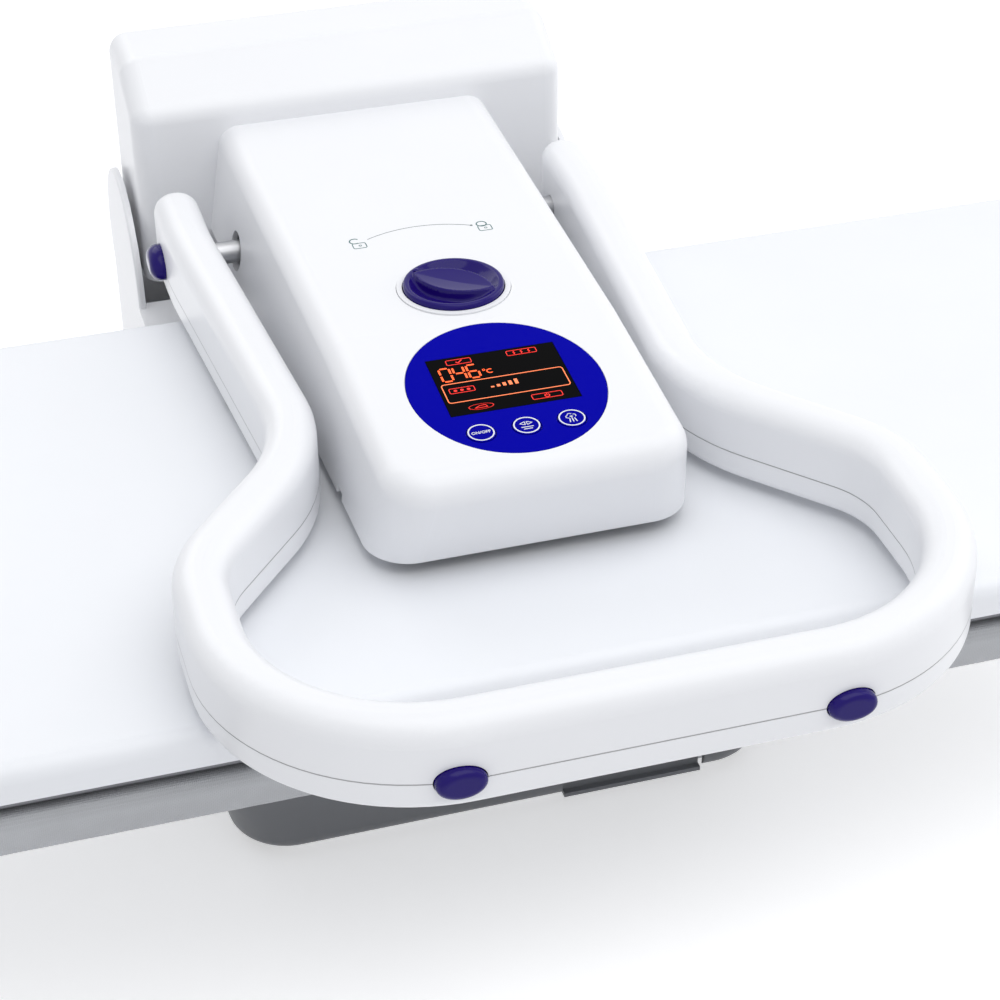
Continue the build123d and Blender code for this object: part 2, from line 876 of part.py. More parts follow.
def make_hinge_brackets():
    """Two upright steel plates with foot flanges, waisted ahead of the turning hood."""
    head = Pos(hinge_y, hinge_height) * Circle(bracket_head)
    foot_rise = bracket_sheet + overrun
    foot = Pos(hinge_y, plate_top + foot_rise / 2) * Rectangle(bracket_foot_width, foot_rise)
    neck_z = (hinge_height - trough_radius - column_wall,
              hinge_height - hood_back_radius + hood_wall)
    neck_middle = hinge_y - (bracket_neck_front + bracket_neck_back) / 2
    neck_width = bracket_neck_front - bracket_neck_back
    neck = Pos(neck_middle, sum(neck_z) / 2) * Rectangle(neck_width, neck_z[1] - neck_z[0])
    neck_top = Pos(neck_middle, neck_z[1] - seat_gap / 2) * Rectangle(neck_width, seat_gap)
    outline = make_hull((head + neck_top).edges()) + neck + make_hull((neck + foot).edges())
    wide = extrude(Plane.YZ.offset(bracket_inner) * outline, amount=bracket_sheet)
    flange = block((bracket_inner, bracket_half + bracket_flange),
                   (hinge_y - bracket_foot_width / 2, hinge_y + bracket_foot_width / 2),
                   (plate_top, plate_top + bracket_sheet))
    bracket = wide + flange
    bracket -= rod_x(0, column_half, hinge_y, hinge_height, hinge_shaft_radius)
    bracket -= rod_x(0, column_half, hinge_y - tie_forward, plate_top + tie_rise, tie_radius)
    return group([bracket, mirror(bracket, about=Plane.YZ)])


def make_bracket_tie():
    """Round bar that keeps the brackets apart."""
    return rod_x(-bracket_half, bracket_half, hinge_y - tie_forward, plate_top + tie_rise,
                 tie_radius)


def make_hinge_shaft():
    """Main shaft, fixed in the brackets, with a groove for each clip."""
    end = bracket_half + clip_thickness + clip_out
    return rod_x(-end, end, hinge_y, hinge_height, hinge_shaft_radius)


def make_shaft_clips():
    """Spring clips outside the brackets."""
    clip = rod_x(bracket_half, bracket_half + clip_thickness, hinge_y, hinge_height, clip_radius)
    clip -= rod_x(0, column_half, hinge_y, hinge_height, hinge_shaft_radius)
    return group([clip, mirror(clip, about=Plane.YZ)])


def make_lift_springs():
    """Two springs wound round the shaft that carry the arm's weight."""
    mean = hinge_shaft_radius + spring_clear + spring_wire
    spring = coil(spring_start, spring_turns, spring_pitch, mean, spring_wire, hinge_y,
                  hinge_height)
    return group([spring, mirror(spring, about=Plane.YZ)])


def make_lock_sector():
    """Disc keyed to the shaft, with a hook over the slot where the lock rod enters."""
    x0 = -crank_throw - sector_thickness / 2
    sector = rod_x(x0, x0 + sector_thickness, hinge_y, hinge_height, sector_radius)
    sector -= rod_x(x0 - overrun, x0 + sector_thickness + overrun, hinge_y, hinge_height,
                    hinge_shaft_radius)
    z0 = rod_tip_height - rod_slot_gap
    z1 = rod_tip_height + rod_tip_tall + rod_slot_gap
    sector -= block((x0 - overrun, x0 + sector_thickness + overrun),
                    (hinge_y - sector_radius - overrun,
                     hinge_y - sector_radius + sector_slot_depth), (z0, z1))
    sector -= block((x0 - overrun, x0 + sector_thickness + overrun),
                    (hinge_y - sector_lip_back, hinge_y + sector_radius + overrun),
                    (hinge_height + sector_crown, hinge_height + sector_radius + overrun))
    return sector


def make_mains_gland():
    """Gland in the column's back for the mains cord."""
    y0 = column_back - column_wall - gland_flange_thickness
    gland = rod_y(y0, column_back + gland_length, gland_x, gland_height,
                  gland_radius - running_fit)
    gland += rod_y(y0, column_back - column_wall, gland_x, gland_height, gland_flange)
    gland -= rod_y(y0 - overrun, column_back + gland_length + overrun, gland_x, gland_height,
                   gland_bore)
    return gland


# The arm

def arm_half(rise_share, y):
    """Half width of the arm's outer face at a height share and a place along Y."""
    along = (y - arm_nose) / (arm_rear - arm_nose)
    low = arm_front_half_bottom + (arm_rear_half_bottom - arm_front_half_bottom) * along
    high = arm_front_half_top + (arm_rear_half_top - arm_front_half_top) * along
    return low + (high - low) * rise_share


def arm_block(inset):
    """The arm's solid outline, drawn in by an inset, and open below where inset."""
    below = overrun if inset else 0
    behind = overrun * 2 if inset else 0
    reach = inset * arm_undercut / (arm_roof_front - arm_bottom)
    foot = arm_nose + arm_undercut + inset + reach * below / arm_undercut
    side = side_prism([
        (foot, arm_bottom - below), (arm_nose + inset, arm_roof_front - inset),
        (arm_kink_y, arm_roof_kink - inset), (arm_rear + behind, arm_roof_rear - inset),
        (arm_rear + behind, arm_bottom - below),
    ], -arm_rear_half_bottom * 2, arm_rear_half_bottom * 2)
    rise = arm_roof_rear - arm_bottom
    sections = []
    for y in (arm_nose - overrun, arm_rear + behind):
        corners = []
        for height, sign in ((-below, -1), (-below, 1), (rise, 1), (rise, -1)):
            half = arm_half(height / rise, y) - inset
            corners.append((sign * half, arm_bottom + height))
        sections.append(Plane.XZ.offset(-y) * Polygon(*corners, align=None))
    tapered = loft(Sketch() + sections, ruled=True)
    solid = side & tapered
    corners = solid.edges().filter_by(
        lambda e: e.length > arm_undercut and abs((e % 0.5).Z) > 0.5
        and (e @ 0.5).Y < arm_kink_y)
    solid = fillet(corners, arm_corner_round - inset)
    roof = solid.faces().filter_by(lambda f: f.normal_at().Z > 0.9)
    outline = roof.edges().filter_by(
        lambda e: (e @ 0.5).Y < arm_rear and not is_kink(e, inset))
    return fillet(outline, arm_top_round - inset)


def is_kink(edge, inset):
    """Whether an edge is the line across the roof where its slope changes."""
    middle = edge @ 0.5
    return abs(middle.X) < seat_gap and middle.Y > arm_nose + arm_undercut + inset


def roof_height(y):
    """Height of the arm's upper face at a place along Y."""
    if y < arm_kink_y:
        share = (y - arm_nose) / (arm_kink_y - arm_nose)
        return arm_roof_front + (arm_roof_kink - arm_roof_front) * share
    share = (y - arm_kink_y) / (arm_rear - arm_kink_y)
    return arm_roof_kink + (arm_roof_rear - arm_roof_kink) * share


def on_panel(x, y, drop=0):
    """A place on the sloping panel, with its tilt, at a depth under the surface."""
    base = Pos(0, overlay_y, roof_height(overlay_y)) * Rot(roof_slope, 0, 0)
    return base * Pos(x, (y - overlay_y) / math.cos(math.radians(roof_slope)), -drop)


def make_arm_top_cover():
    """White moulding over the arm, with the display's pocket and the knob's cup."""
    shell = arm_block(0) - arm_block(arm_wall)
    knob_roof = roof_height(knob_y)
    cup = knob_radius + knob_collar_gap + knob_collar_width + seat_gap
    depth = knob_height - knob_proud + knob_floor
    shell += rod_z(knob_roof - depth - cup_floor, knob_roof - arm_wall / 2, 0, knob_y,
                   cup + cup_wall)
    shell -= rod_z(knob_roof - depth, knob_roof + overrun, 0, knob_y, cup)
    shell -= rod_z(knob_roof - depth - cup_floor - overrun, knob_roof, 0, knob_y,
                   knob_shaft_radius + running_fit * 2)
    pocket = Ellipse(overlay_half_width + overlay_gap, overlay_half_depth + overlay_gap)
    shell -= on_panel(0, overlay_y, overlay_thickness) * extrude(pocket, amount=overrun)
    window = Rectangle(screen_width + 2 * screen_border + 2 * screen_gap,
                       screen_depth + 2 * screen_border + 2 * screen_gap)
    shell -= on_panel(0, overlay_y + screen_forward, arm_wall + overrun) * extrude(
        window, amount=arm_wall + overrun * 2)
    for x in (-key_spread, 0, key_spread):
        hole = Circle(key_radius + key_gap)
        shell -= on_panel(x, overlay_y - key_back, arm_wall + overrun) * extrude(
            hole, amount=arm_wall + overrun * 2)
    for x, y in top_boss_places():
        shell += rod_z(frame_top, roof_height(y) - arm_wall / 2, x, y, top_boss_radius)
        shell -= rod_z(frame_top - overrun, frame_top + top_boss_drill, x, y, screw_shank)
    span = arm_rear_half_bottom * 2
    shell -= rod_x(-span, span, handle_pivot_y, handle_pivot_height, pivot_hole_radius)
    shell -= block((-span, span), (lower_notch_y - lower_notch_length, lower_notch_y),
                   (arm_bottom - overrun, arm_bottom + lower_notch_height))
    return shell


def lower_screw_places():
    """Where the lower cover is screwed to the frame's lips."""
    return [(x, y) for x in (-arm_screw_x, arm_screw_x)
            for y in (arm_screw_front, arm_screw_back)]


def top_boss_places():
    """Where the top cover is screwed to the frame's roof."""
    return [(x, y) for x in (-top_boss_x, top_boss_x)
            for y in (top_boss_front, top_boss_back)]


def make_arm_lower_cover():
    """White plate that closes the arm from below, with a slot for the hanger."""
    plate = arm_block(arm_wall + seat_gap)
    plate &= block((-hood_half, hood_half), (lower_front, arm_rear - hood_wall - seat_gap),
                   (arm_bottom, arm_bottom + lower_thickness))
    half = lug_gap + lug_thickness + lug_gap / 2
    deep = lug_radius + lug_thickness
    plate -= block((-half, half), (hanger_y - deep, hanger_y + deep),
                   (arm_bottom - overrun, arm_bottom + overrun))
    for x, y in lower_screw_places():
        plate -= rod_z(arm_bottom - overrun, arm_bottom + overrun, x, y,
                       screw_shank + screw_hole_gap)
    return plate


def hood_block(inset):
    """The hinge hood's rounded form, closed below, drawn in by an inset."""
    radius = hood_back_radius - inset
    back = hinge_y + radius
    front = hood_front + inset
    low = hinge_height - radius
    top = cover_bottom + hood_top - inset
    shoulder = cover_bottom + hood_front_top - inset
    crown = front + (back - front) * hood_top_share
    slant = radius * math.sqrt(0.5)
    with BuildSketch(Plane.YZ) as outline:
        with BuildLine():
            Polyline((hinge_y, low), (front, low), (front, shoulder), (crown, top),
                     (back, top), (back, hinge_height))
            ThreePointArc((back, hinge_height), (hinge_y + slant, hinge_height - slant),
                          (hinge_y, low))
        make_face()
    solid = extrude(outline.sketch, amount=hood_half - inset, both=True)

    def is_smooth(edge):
        across = Vector(0, (edge @ 0.5).Y - hinge_y, (edge @ 0.5).Z - hinge_height)
        return abs((edge % 0.5).X) > 0.9 and abs(across.length - radius) < seat_gap

    edges = solid.edges().filter_by(lambda e: not is_smooth(e))
    return fillet(edges, hood_round - inset)


def make_hinge_hood():
    """White hood over the hinge, wider than the arm, that turns with it."""
    hood = hood_block(0) - hood_block(hood_wall)
    low = cover_bottom - hood_drop
    turn = math.radians(hood_back_angle)
    skirt_y = hinge_y + hood_back_radius * math.cos(turn) - hood_wall
    skirt_z = hinge_height - hood_back_radius * math.sin(turn)
    half = hood_half + overrun
    bottom = hinge_height - hood_back_radius - overrun
    hood -= block((-half, half), (hood_front - overrun, skirt_y), (bottom, low))
    hood -= block((-half, half), (hood_front, hinge_y + hood_back_radius + overrun),
                  (bottom, skirt_z))
    doorway = arm_block(arm_wall)
    doorway += block((-frame_half - bush_wall, frame_half + bush_wall),
                     (arm_rear - overrun, arm_rear + overrun * 2),
                     (low - overrun, arm_roof_rear - arm_wall))
    return hood - doorway


def make_arm_frame():
    """Steel channel along the arm, with an ear at each side for the hinge."""
    z0 = frame_top - frame_flange_depth
    web = block((-frame_half, frame_half), (frame_front, arm_rear), (frame_under, frame_top))
    flange = block((frame_half - frame_sheet, frame_half), (frame_front, arm_rear),
                   (z0, frame_top))
    ear_parts = Pos(hinge_y, hinge_height) * Circle(ear_radius)
    tall = frame_top - z0
    ear_parts += Pos(arm_rear - hood_wall / 2, z0 + tall / 2) * Rectangle(hood_wall, tall)
    ear = extrude(Plane.YZ.offset(frame_half - frame_sheet) * make_hull(ear_parts.edges()),
                  amount=frame_sheet)
    side = flange + ear
    side -= rod_x(0, frame_half * 2, hinge_y, hinge_height, hinge_shaft_radius + bush_wall)
    side -= rod_x(0, frame_half * 2, handle_pivot_y, handle_pivot_height,
                  shaft_radius + running_fit)
    side -= rod_x(0, frame_half * 2, hanger_y, hanger_height, hanger_pin_radius)
    for y in (arm_screw_front, arm_screw_back):
        side += block((arm_screw_x - lip_half, frame_half), (y - lip_half, y + lip_half),
                      (z0, z0 + frame_sheet))
        side -= rod_z(z0 - overrun, z0 + overrun, arm_screw_x, y, screw_shank)
    frame = web + both_sides(side)
    frame -= rod_z(frame_under - overrun, frame_top + overrun, 0, knob_y,
                   knob_shaft_radius + running_fit * 2)
    for x, y in top_boss_places():
        frame -= rod_z(frame_under - overrun, frame_top + overrun, x, y, screw_shank)
    return frame


def make_hinge_bushes():
    """Flanged bushes in the arm's ears that also space the arm from the brackets."""
    x0 = frame_half - frame_sheet
    x1 = bracket_inner - seat_gap
    bush = rod_x(x0, x1, hinge_y, hinge_height, hinge_shaft_radius + bush_wall)
    bush -= rod_x(0, x1 + overrun, hinge_y, hinge_height, hinge_shaft_radius + running_fit)
    return group([bush, mirror(bush, about=Plane.YZ)])


def make_hanger_pin():
    """Pin through the arm frame, on which the plate's lugs hang."""
    end = frame_half + clip_thickness
    return rod_x(-end, end, hanger_y, hanger_height, hanger_pin_radius)


def make_handle_spring():
    """Spring round the handle's cross shaft."""
    mean = shaft_radius + spring_clear + handle_spring_wire
    return coil(handle_spring_start, handle_spring_turns, handle_spring_pitch, mean,
                handle_spring_wire, handle_pivot_y, handle_pivot_height)


def make_arm_hose():
    """Water hose along the arm, under the frame's roof."""
    z = frame_under - run_rise
    return rod_y(run_front, run_back, run_x, z, hose_radius)


def make_wiring_loom():
    """Bundle of wires along the arm's other side."""
    z = frame_under - run_rise
    return rod_y(run_front, run_back, -run_x, z, loom_radius)


def make_arm_clips():
    """Saddles that hold hose and loom to the frame's roof."""
    z = frame_under - run_rise
    clips = []
    length = (run_back - run_front) / 3
    for x, radius in ((run_x, hose_radius), (-run_x, loom_radius)):
        for step in (1, 2):
            y = run_front + length * step
            half = radius + clip_thickness
            clip = block((x - half, x + half), (y - half, y + half), (z, frame_under))
            clips.append(clip - rod_y(y - half - overrun, y + half + overrun, x, z, radius))
    return group(clips)


# Controls on the arm

def make_display_overlay():
    """Blue oval panel with a window for the screen and three key holes."""
    plate = extrude(Ellipse(overlay_half_width, overlay_half_depth), amount=overlay_thickness)
    panel = on_panel(0, overlay_y, overlay_thickness) * plate
    window = extrude(Rectangle(screen_width, screen_depth), amount=overrun * 2)
    panel -= on_panel(0, overlay_y + screen_forward, overrun) * window
    for x in (-key_spread, 0, key_spread):
        hole = extrude(Circle(key_radius + key_gap), amount=overrun * 2)
        panel -= on_panel(x, overlay_y - key_back, overrun) * hole
    return panel


def make_display_screen():
    """Black screen module, whose glass stands in the overlay's window."""
    y = overlay_y + screen_forward
    glass = Rectangle(screen_width - 2 * screen_gap, screen_depth - 2 * screen_gap)
    face = on_panel(0, y, overlay_thickness) * extrude(glass, amount=overlay_thickness)
    body = Rectangle(screen_width + 2 * screen_border, screen_depth + 2 * screen_border)
    module = on_panel(0, y, screen_module) * extrude(
        body, amount=screen_module - overlay_thickness)
    return face + module


def make_key(x):
    """Round key whose stem ends over its switch."""
    stem = extrude(Circle(key_radius), amount=key_length)
    stem = fillet(top_edges(stem), key_proud)
    return on_panel(x, overlay_y - key_back, key_length - key_proud) * stem


def make_control_board():
    """Circuit board under the panel with three key switches."""
    board = Rectangle(2 * control_board_half, control_board_depth)
    lift = screen_module - control_board_drop
    plate = extrude(board, amount=board_sheet)
    assembly = on_panel(0, overlay_y, control_board_drop + board_sheet) * plate
    foot = Rectangle(screen_width, screen_border * 2)
    assembly += on_panel(0, overlay_y + screen_forward, control_board_drop) * extrude(
        foot, amount=-lift)
    for x in (-key_spread, 0, key_spread):
        switch = extrude(Rectangle(switch_side, switch_side), amount=switch_height)
        assembly += on_panel(x, overlay_y - key_back, control_board_drop) * switch
    return assembly


def make_knob_collar():
    """Dark ring round the lock knob."""
    roof = roof_height(knob_y)
    outer = knob_radius + knob_collar_gap + knob_collar_width
    z0 = roof - knob_height + knob_proud - knob_floor
    ring = rod_z(z0, roof + knob_collar_proud, 0, knob_y, outer)
    ring -= rod_z(z0 - overrun, roof + overrun, 0, knob_y, knob_radius + knob_collar_gap)
    return ring


def make_lock_knob():
    """Violet disc with a finger scoop at each side of an eye-shaped bar."""
    top = roof_height(knob_y) + knob_proud
    floor = top - scoop_depth
    disc = rod_z(top - knob_height, top, 0, knob_y, knob_radius)
    disc = fillet(top_edges(disc), knob_edge)
    well = rod_z(floor, top + grip_rise, 0, knob_y, knob_radius - knob_rim)
    disc -= fillet(bottom_edges(well), scoop_round)
    reach = knob_radius - knob_rim - grip_end_gap
    radius = (reach ** 2 + grip_half_width ** 2) / (2 * grip_half_width)
    shift = radius - grip_half_width
    eye = (Pos(0, shift) * Circle(radius)) & (Pos(0, -shift) * Circle(radius))
    grip = extrude(Rot(0, 0, grip_angle) * eye, amount=grip_rise + scoop_depth + knob_rim)
    grip = fillet(top_edges(grip), grip_rise)
    return disc + Pos(0, knob_y, floor - knob_rim) * grip


def make_knob_shaft():
    """Shaft under the knob with a crank disc and its pin."""
    roof = roof_height(knob_y)
    crank_top = frame_under - rod_gap - rod_thickness - rod_gap
    shaft = rod_z(crank_top, roof + knob_proud - knob_height, 0, knob_y, knob_shaft_radius)
    disc = rod_z(crank_top - crank_thickness, crank_top, 0, knob_y, crank_radius)
    turn = math.radians(180 + crank_half_turn)
    pin_x = crank_throw * math.cos(turn)
    pin_y = knob_y + crank_throw * math.sin(turn)
    pin = rod_z(crank_top, frame_under - rod_gap * 2, pin_x, pin_y, crank_pin_radius)
    return shaft + disc + pin


def make_lock_rod():
    """Flat rod that the crank pushes back into the notch of the lock sector."""
    top = frame_under - rod_gap
    z0 = top - rod_thickness
    middle = -crank_throw
    turn = math.radians(180 + crank_half_turn)
    pin_y = knob_y + crank_throw * math.sin(turn)
    side = crank_throw - knob_shaft_radius - seat_gap * 2
    head = block((middle - rod_head_out, middle + side),
                 (pin_y - rod_head, pin_y + rod_head), (z0, top))
    far = middle - crank_pin_radius - crank_slot_gap
    near = crank_throw * math.cos(turn) + crank_pin_radius + crank_slot_gap
    slot = crank_pin_radius + crank_slot_gap
    head -= block((far, near), (pin_y - slot, pin_y + slot), (z0 - overrun, top + overrun))
    half = rod_width / 2
    bar = block((middle - half, middle + half),
                (pin_y + rod_head, rod_drop_y + rod_drop_thickness), (z0, top))
    drop = block((middle - half, middle + half),
                 (rod_drop_y, rod_drop_y + rod_drop_thickness), (rod_tip_height, top))
    tip = block((middle - half, middle + half), (rod_drop_y, rod_tip_end),
                (rod_tip_height, rod_tip_height + rod_tip_tall))
    return head + bar + drop + tip


# The handle

def handle_line():
    """Centre line of the handle's loop in plan."""
    half = [
        (handle_rear_x, handle_end), (handle_rear_x, handle_bend_y),
        (handle_elbow_x, handle_flare_back), (handle_side_x, handle_flare_front),
        (handle_side_x, handle_front),
    ]
    points = half + [(-x, y) for x, y in reversed(half)]
    bends = [handle_bend_rear, handle_bend_back, handle_bend_front, handle_bend_corner]
    return FilletPolyline(*points, radius=bends + bends[::-1])


def loop_face(width, end):
    """Plan of a band of some width along the loop, cut off square at an end."""
    band = make_face(offset(handle_line(), amount=width / 2).edges())
    reach = handle_side_x + handle_width
    deep = end - handle_front + handle_width
    keep = Pos(0, end - deep / 2) * Rectangle(2 * reach, deep)
    return band & keep


def hub_face():
    """Outer face of the handle's arm at its pivot."""
    return handle_rear_x + handle_width / 2


def handle_block(inset):
    """The handle's outer form, taller towards the pivot, drawn in by an inset."""
    end = handle_end - inset
    plan = loop_face(handle_width - 2 * inset, end)
    corners = plan.vertices().filter_by(lambda v: abs(v.Y - end) < seat_gap)
    plan = fillet(corners, handle_end_round - inset)
    low = handle_bottom + inset
    body = extrude(Plane.XY.offset(low) * plan, amount=handle_rear_height)
    front = handle_front - handle_width / 2
    reach = handle_side_x + handle_width
    profile = side_prism([
        (front, low - overrun), (handle_end, low - overrun),
        (handle_end, handle_bottom + handle_rear_height - inset),
        (front, handle_top - inset),
    ], -reach, reach)
    body = body & profile
    top = body.faces().sort_by(Axis.Z)[-1]
    body = fillet(top.edges(), handle_round - inset)
    return fillet(bottom_edges(body), handle_under_round - inset)


def cap_pockets():
    """Oval seats of the caps in the hubs, with the shaft's holes behind them."""
    oval = Ellipse(cap_half_length + seat_gap, cap_half_height + seat_gap)
    place = Plane(origin=(hub_face() - cap_seat, handle_pivot_y, handle_pivot_height),
                  x_dir=(0, 1, 0), z_dir=(1, 0, 0))
    seat = extrude(place * oval, amount=cap_seat + overrun)
    end = hub_face() - cap_seat
    hole = rod_x(handle_rear_x - handle_width, end, handle_pivot_y, handle_pivot_height,
                 shaft_radius + seat_gap)
    return both_sides(seat + hole)


def handle_screw_places():
    """Where the handle's two shells are screwed together, outside the strip."""
    along = (handle_screw_y - handle_flare_back) / (handle_bend_y - handle_flare_back)
    arm = handle_elbow_x + (handle_rear_x - handle_elbow_x) * along + handle_boss_out
    side = handle_side_x + handle_boss_out
    return [(arm, handle_screw_y), (-arm, handle_screw_y), (side, handle_side_screw_y),
            (-side, handle_side_screw_y), (0, handle_front - handle_boss_out)]


def make_handle_shells():
    """Upper and lower half of the handle, with screw bosses between them."""
    outer = handle_block(0)
    low = handle_bottom + handle_wall / 2
    high = handle_bottom + handle_rear_height
    bosses = group([rod_z(low, high, x, y, handle_boss_radius)
                    for x, y in handle_screw_places()])
    whole = outer - handle_block(handle_wall) - cap_pockets()
    whole += bosses & outer
    for x, y in handle_screw_places():
        whole -= rod_z(handle_bottom - overrun, handle_bottom + handle_screw_head, x, y,
                       screw_head + screw_hole_gap)
        whole -= rod_z(handle_bottom, handle_bottom + handle_screw_length, x, y,
                       screw_shank + screw_hole_gap)
    front = handle_front - handle_width / 2
    for x in (-button_x, button_x):
        oval = Ellipse(button_half_length + button_gap, button_half_height + button_gap)
        plane = Plane.XZ.offset(-front + overrun) * Pos(x, handle_parting_height)
        whole -= extrude(plane * oval, amount=-handle_wall - overrun * 2)
    reach = handle_side_x + handle_width
    span = (handle_front - handle_width, handle_end + handle_width)
    above = block((-reach, reach), span, (handle_parting_height, high + overrun))
    below = block((-reach, reach), span, (handle_bottom - overrun, handle_parting_height))
    return whole & above, whole & below


def make_handle_screws():
    """Screws that hold the lower shell to the upper one from below."""
    screws = []
    for x, y in handle_screw_places():
        z0 = handle_bottom + handle_screw_head
        head = rod_z(z0 - screw_head_height, z0, x, y, screw_head)
        shank = rod_z(z0, handle_bottom + handle_screw_length - screw_hole_gap, x, y,
                      screw_shank)
        screws.append(head + shank)
    return group(screws)


def make_handle_strip():
    """Steel strip bent to the loop inside the handle, with a ring at each end."""
    z0 = handle_pivot_height - strip_height / 2
    wide = loop_face(2 * strip_offset + strip_thickness, handle_pivot_y)
    narrow = loop_face(2 * strip_offset - strip_thickness, handle_pivot_y)
    inner = (wide - narrow).faces().sort_by(lambda face: face.bounding_box().size.X)[0]
    strip = extrude(Plane.XY.offset(z0) * inner, amount=strip_height)
    x0 = handle_rear_x - strip_offset - strip_thickness / 2
    ring = rod_x(x0, x0 + strip_thickness, handle_pivot_y, handle_pivot_height,
                 strip_hub_radius)
    strip = strip + both_sides(ring)
    return strip - rod_x(-handle_side_x, handle_side_x, handle_pivot_y, handle_pivot_height,
                         shaft_radius)


def make_handle_shaft():
    """Cross shaft through both ends of the handle and the arm."""
    end = hub_face() - cap_seat - shaft_end_gap
    return rod_x(-end, end, handle_pivot_y, handle_pivot_height, shaft_radius)


def dome(half_length, half_height, rise, skirt):
    """Low oval dome with a skirt below it, standing on the XY plane."""
    oval = Ellipse(half_length, half_height)
    body = extrude(oval, amount=rise + skirt)
    return fillet(top_edges(body), rise * dome_round_share)


def make_handle_caps():
    """Violet oval caps over the shaft's ends."""
    cap = dome(cap_half_length, cap_half_height, cap_proud, cap_seat)
    place = Plane(origin=(hub_face() - cap_seat, handle_pivot_y, handle_pivot_height),
                  x_dir=(0, 1, 0), z_dir=(1, 0, 0))
    cap = place * cap
    return group([cap, mirror(cap, about=Plane.YZ)])


def make_steam_button(side):
    """Violet push button in the handle's front, with two ears that keep it in."""
    front = handle_front - handle_width / 2
    cap = dome(button_half_length, button_half_height, button_proud, button_skirt)
    back = extrude(Rectangle(2 * (button_half_length + button_ear), 2 * button_ear_half),
                   amount=-button_flange_thickness)
    place = Plane(origin=(side * button_x, front + button_skirt, handle_parting_height),
                  x_dir=(1, 0, 0), z_dir=(0, -1, 0))
    return place * (cap + back)


def make_steam_switches():
    """Switches behind the steam buttons, fixed to the handle's strip."""
    front = handle_front - handle_width / 2 + button_skirt
    y0 = front + button_flange_thickness + button_travel + switch_gap
    y1 = handle_front + strip_offset - strip_thickness / 2
    low = handle_parting_height - switch_side
    switch = block((button_x - switch_side, button_x + switch_side), (y0, y1),
                   (low, low + 2 * switch_side))
    return group([switch, mirror(switch, about=Plane.YZ)])


def make_arm_screws():
    """Screws of the arm's two covers, all driven from below into the frame's side."""
    screws = []
    for places, z, length in ((lower_screw_places(), arm_bottom, arm_screw_length),
                              (top_boss_places(), frame_under, top_boss_drill)):
        for x, y in places:
            screws.append(rod_z(z - screw_head_height, z, x, y, screw_head)
                          + rod_z(z, z + length, x, y, screw_shank))
    return group(screws)


# Every node with the piece that it holds

upper_shell, lower_shell = make_handle_shells()
nodes = {
    "plate_cover": make_plate_cover(),
    "sole_plate": make_sole_plate(),
    "heating_element": make_heating_element(),
    "insulation_mat": make_insulation_mat(),
    "plate_yoke": make_plate_yoke(),
    "plate_sensors": make_plate_sensors(),
    "steam_lid": make_steam_lid(),
    "board_tray": make_board_tray(),
    "board_pad": make_board_pad(),
    "board_cloth": make_board_cloth(),
    "board_posts": make_board_posts(),
    "base_cover": make_base_cover(),
    "base_plate": make_base_plate(),
    "rubber_feet": make_rubber_feet(),
    "base_screws": make_base_screws(),
    "tank_bay": make_tank_bay(),
    "water_tank": make_water_tank(),
    "tank_front": make_tank_front(),
    "filler_plug": make_filler_plug(),
    "water_pump": make_water_pump(),
    "base_hose": make_base_hose(),
    "power_board": make_power_board(),
    "column_cover": make_column_cover(),
    "hinge_brackets": make_hinge_brackets(),
    "bracket_tie": make_bracket_tie(),
    "hinge_shaft": make_hinge_shaft(),
    "shaft_clips": make_shaft_clips(),
    "lift_springs": make_lift_springs(),
    "lock_sector": make_lock_sector(),
    "mains_gland": make_mains_gland(),
    "arm_top_cover": make_arm_top_cover(),
    "arm_lower_cover": make_arm_lower_cover(),
    "arm_screws": make_arm_screws(),
    "hinge_hood": make_hinge_hood(),
    "arm_frame": make_arm_frame(),
    "hinge_bushes": make_hinge_bushes(),
    "hanger_pin": make_hanger_pin(),
    "handle_spring": make_handle_spring(),
    "arm_hose": make_arm_hose(),
    "wiring_loom": make_wiring_loom(),
    "arm_clips": make_arm_clips(),
    "display_overlay": make_display_overlay(),
    "display_screen": make_display_screen(),
    "power_key": make_key(-key_spread),
    "mode_key": make_key(0),
    "steam_key": make_key(key_spread),
    "control_board": make_control_board(),
    "knob_collar": make_knob_collar(),
    "lock_knob": make_lock_knob(),
    "knob_shaft": make_knob_shaft(),
    "lock_rod": make_lock_rod(),
    "handle_upper_shell": upper_shell,
    "handle_lower_shell": lower_shell,
    "handle_strip": make_handle_strip(),
    "handle_screws": make_handle_screws(),
    "handle_shaft": make_handle_shaft(),
    "handle_caps": make_handle_caps(),
    "steam_button_left": make_steam_button(-1),
    "steam_button_right": make_steam_button(1),
    "steam_switches": make_steam_switches(),
}

os.makedirs("parts", exist_ok=True)
for name, piece in nodes.items():
    export_step(Pos(0, -origin_y, 0) * piece, f"parts/{name}.step")
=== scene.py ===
"""Ironing press: finishes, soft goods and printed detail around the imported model."""

import logging
import math
from abc import ABC, abstractmethod
from dataclasses import dataclass, field
from enum import Enum
from functools import cache
from typing import Callable, Iterable

import bmesh
import bpy
from mathutils import Matrix, Vector
from mathutils.bvhtree import BVHTree


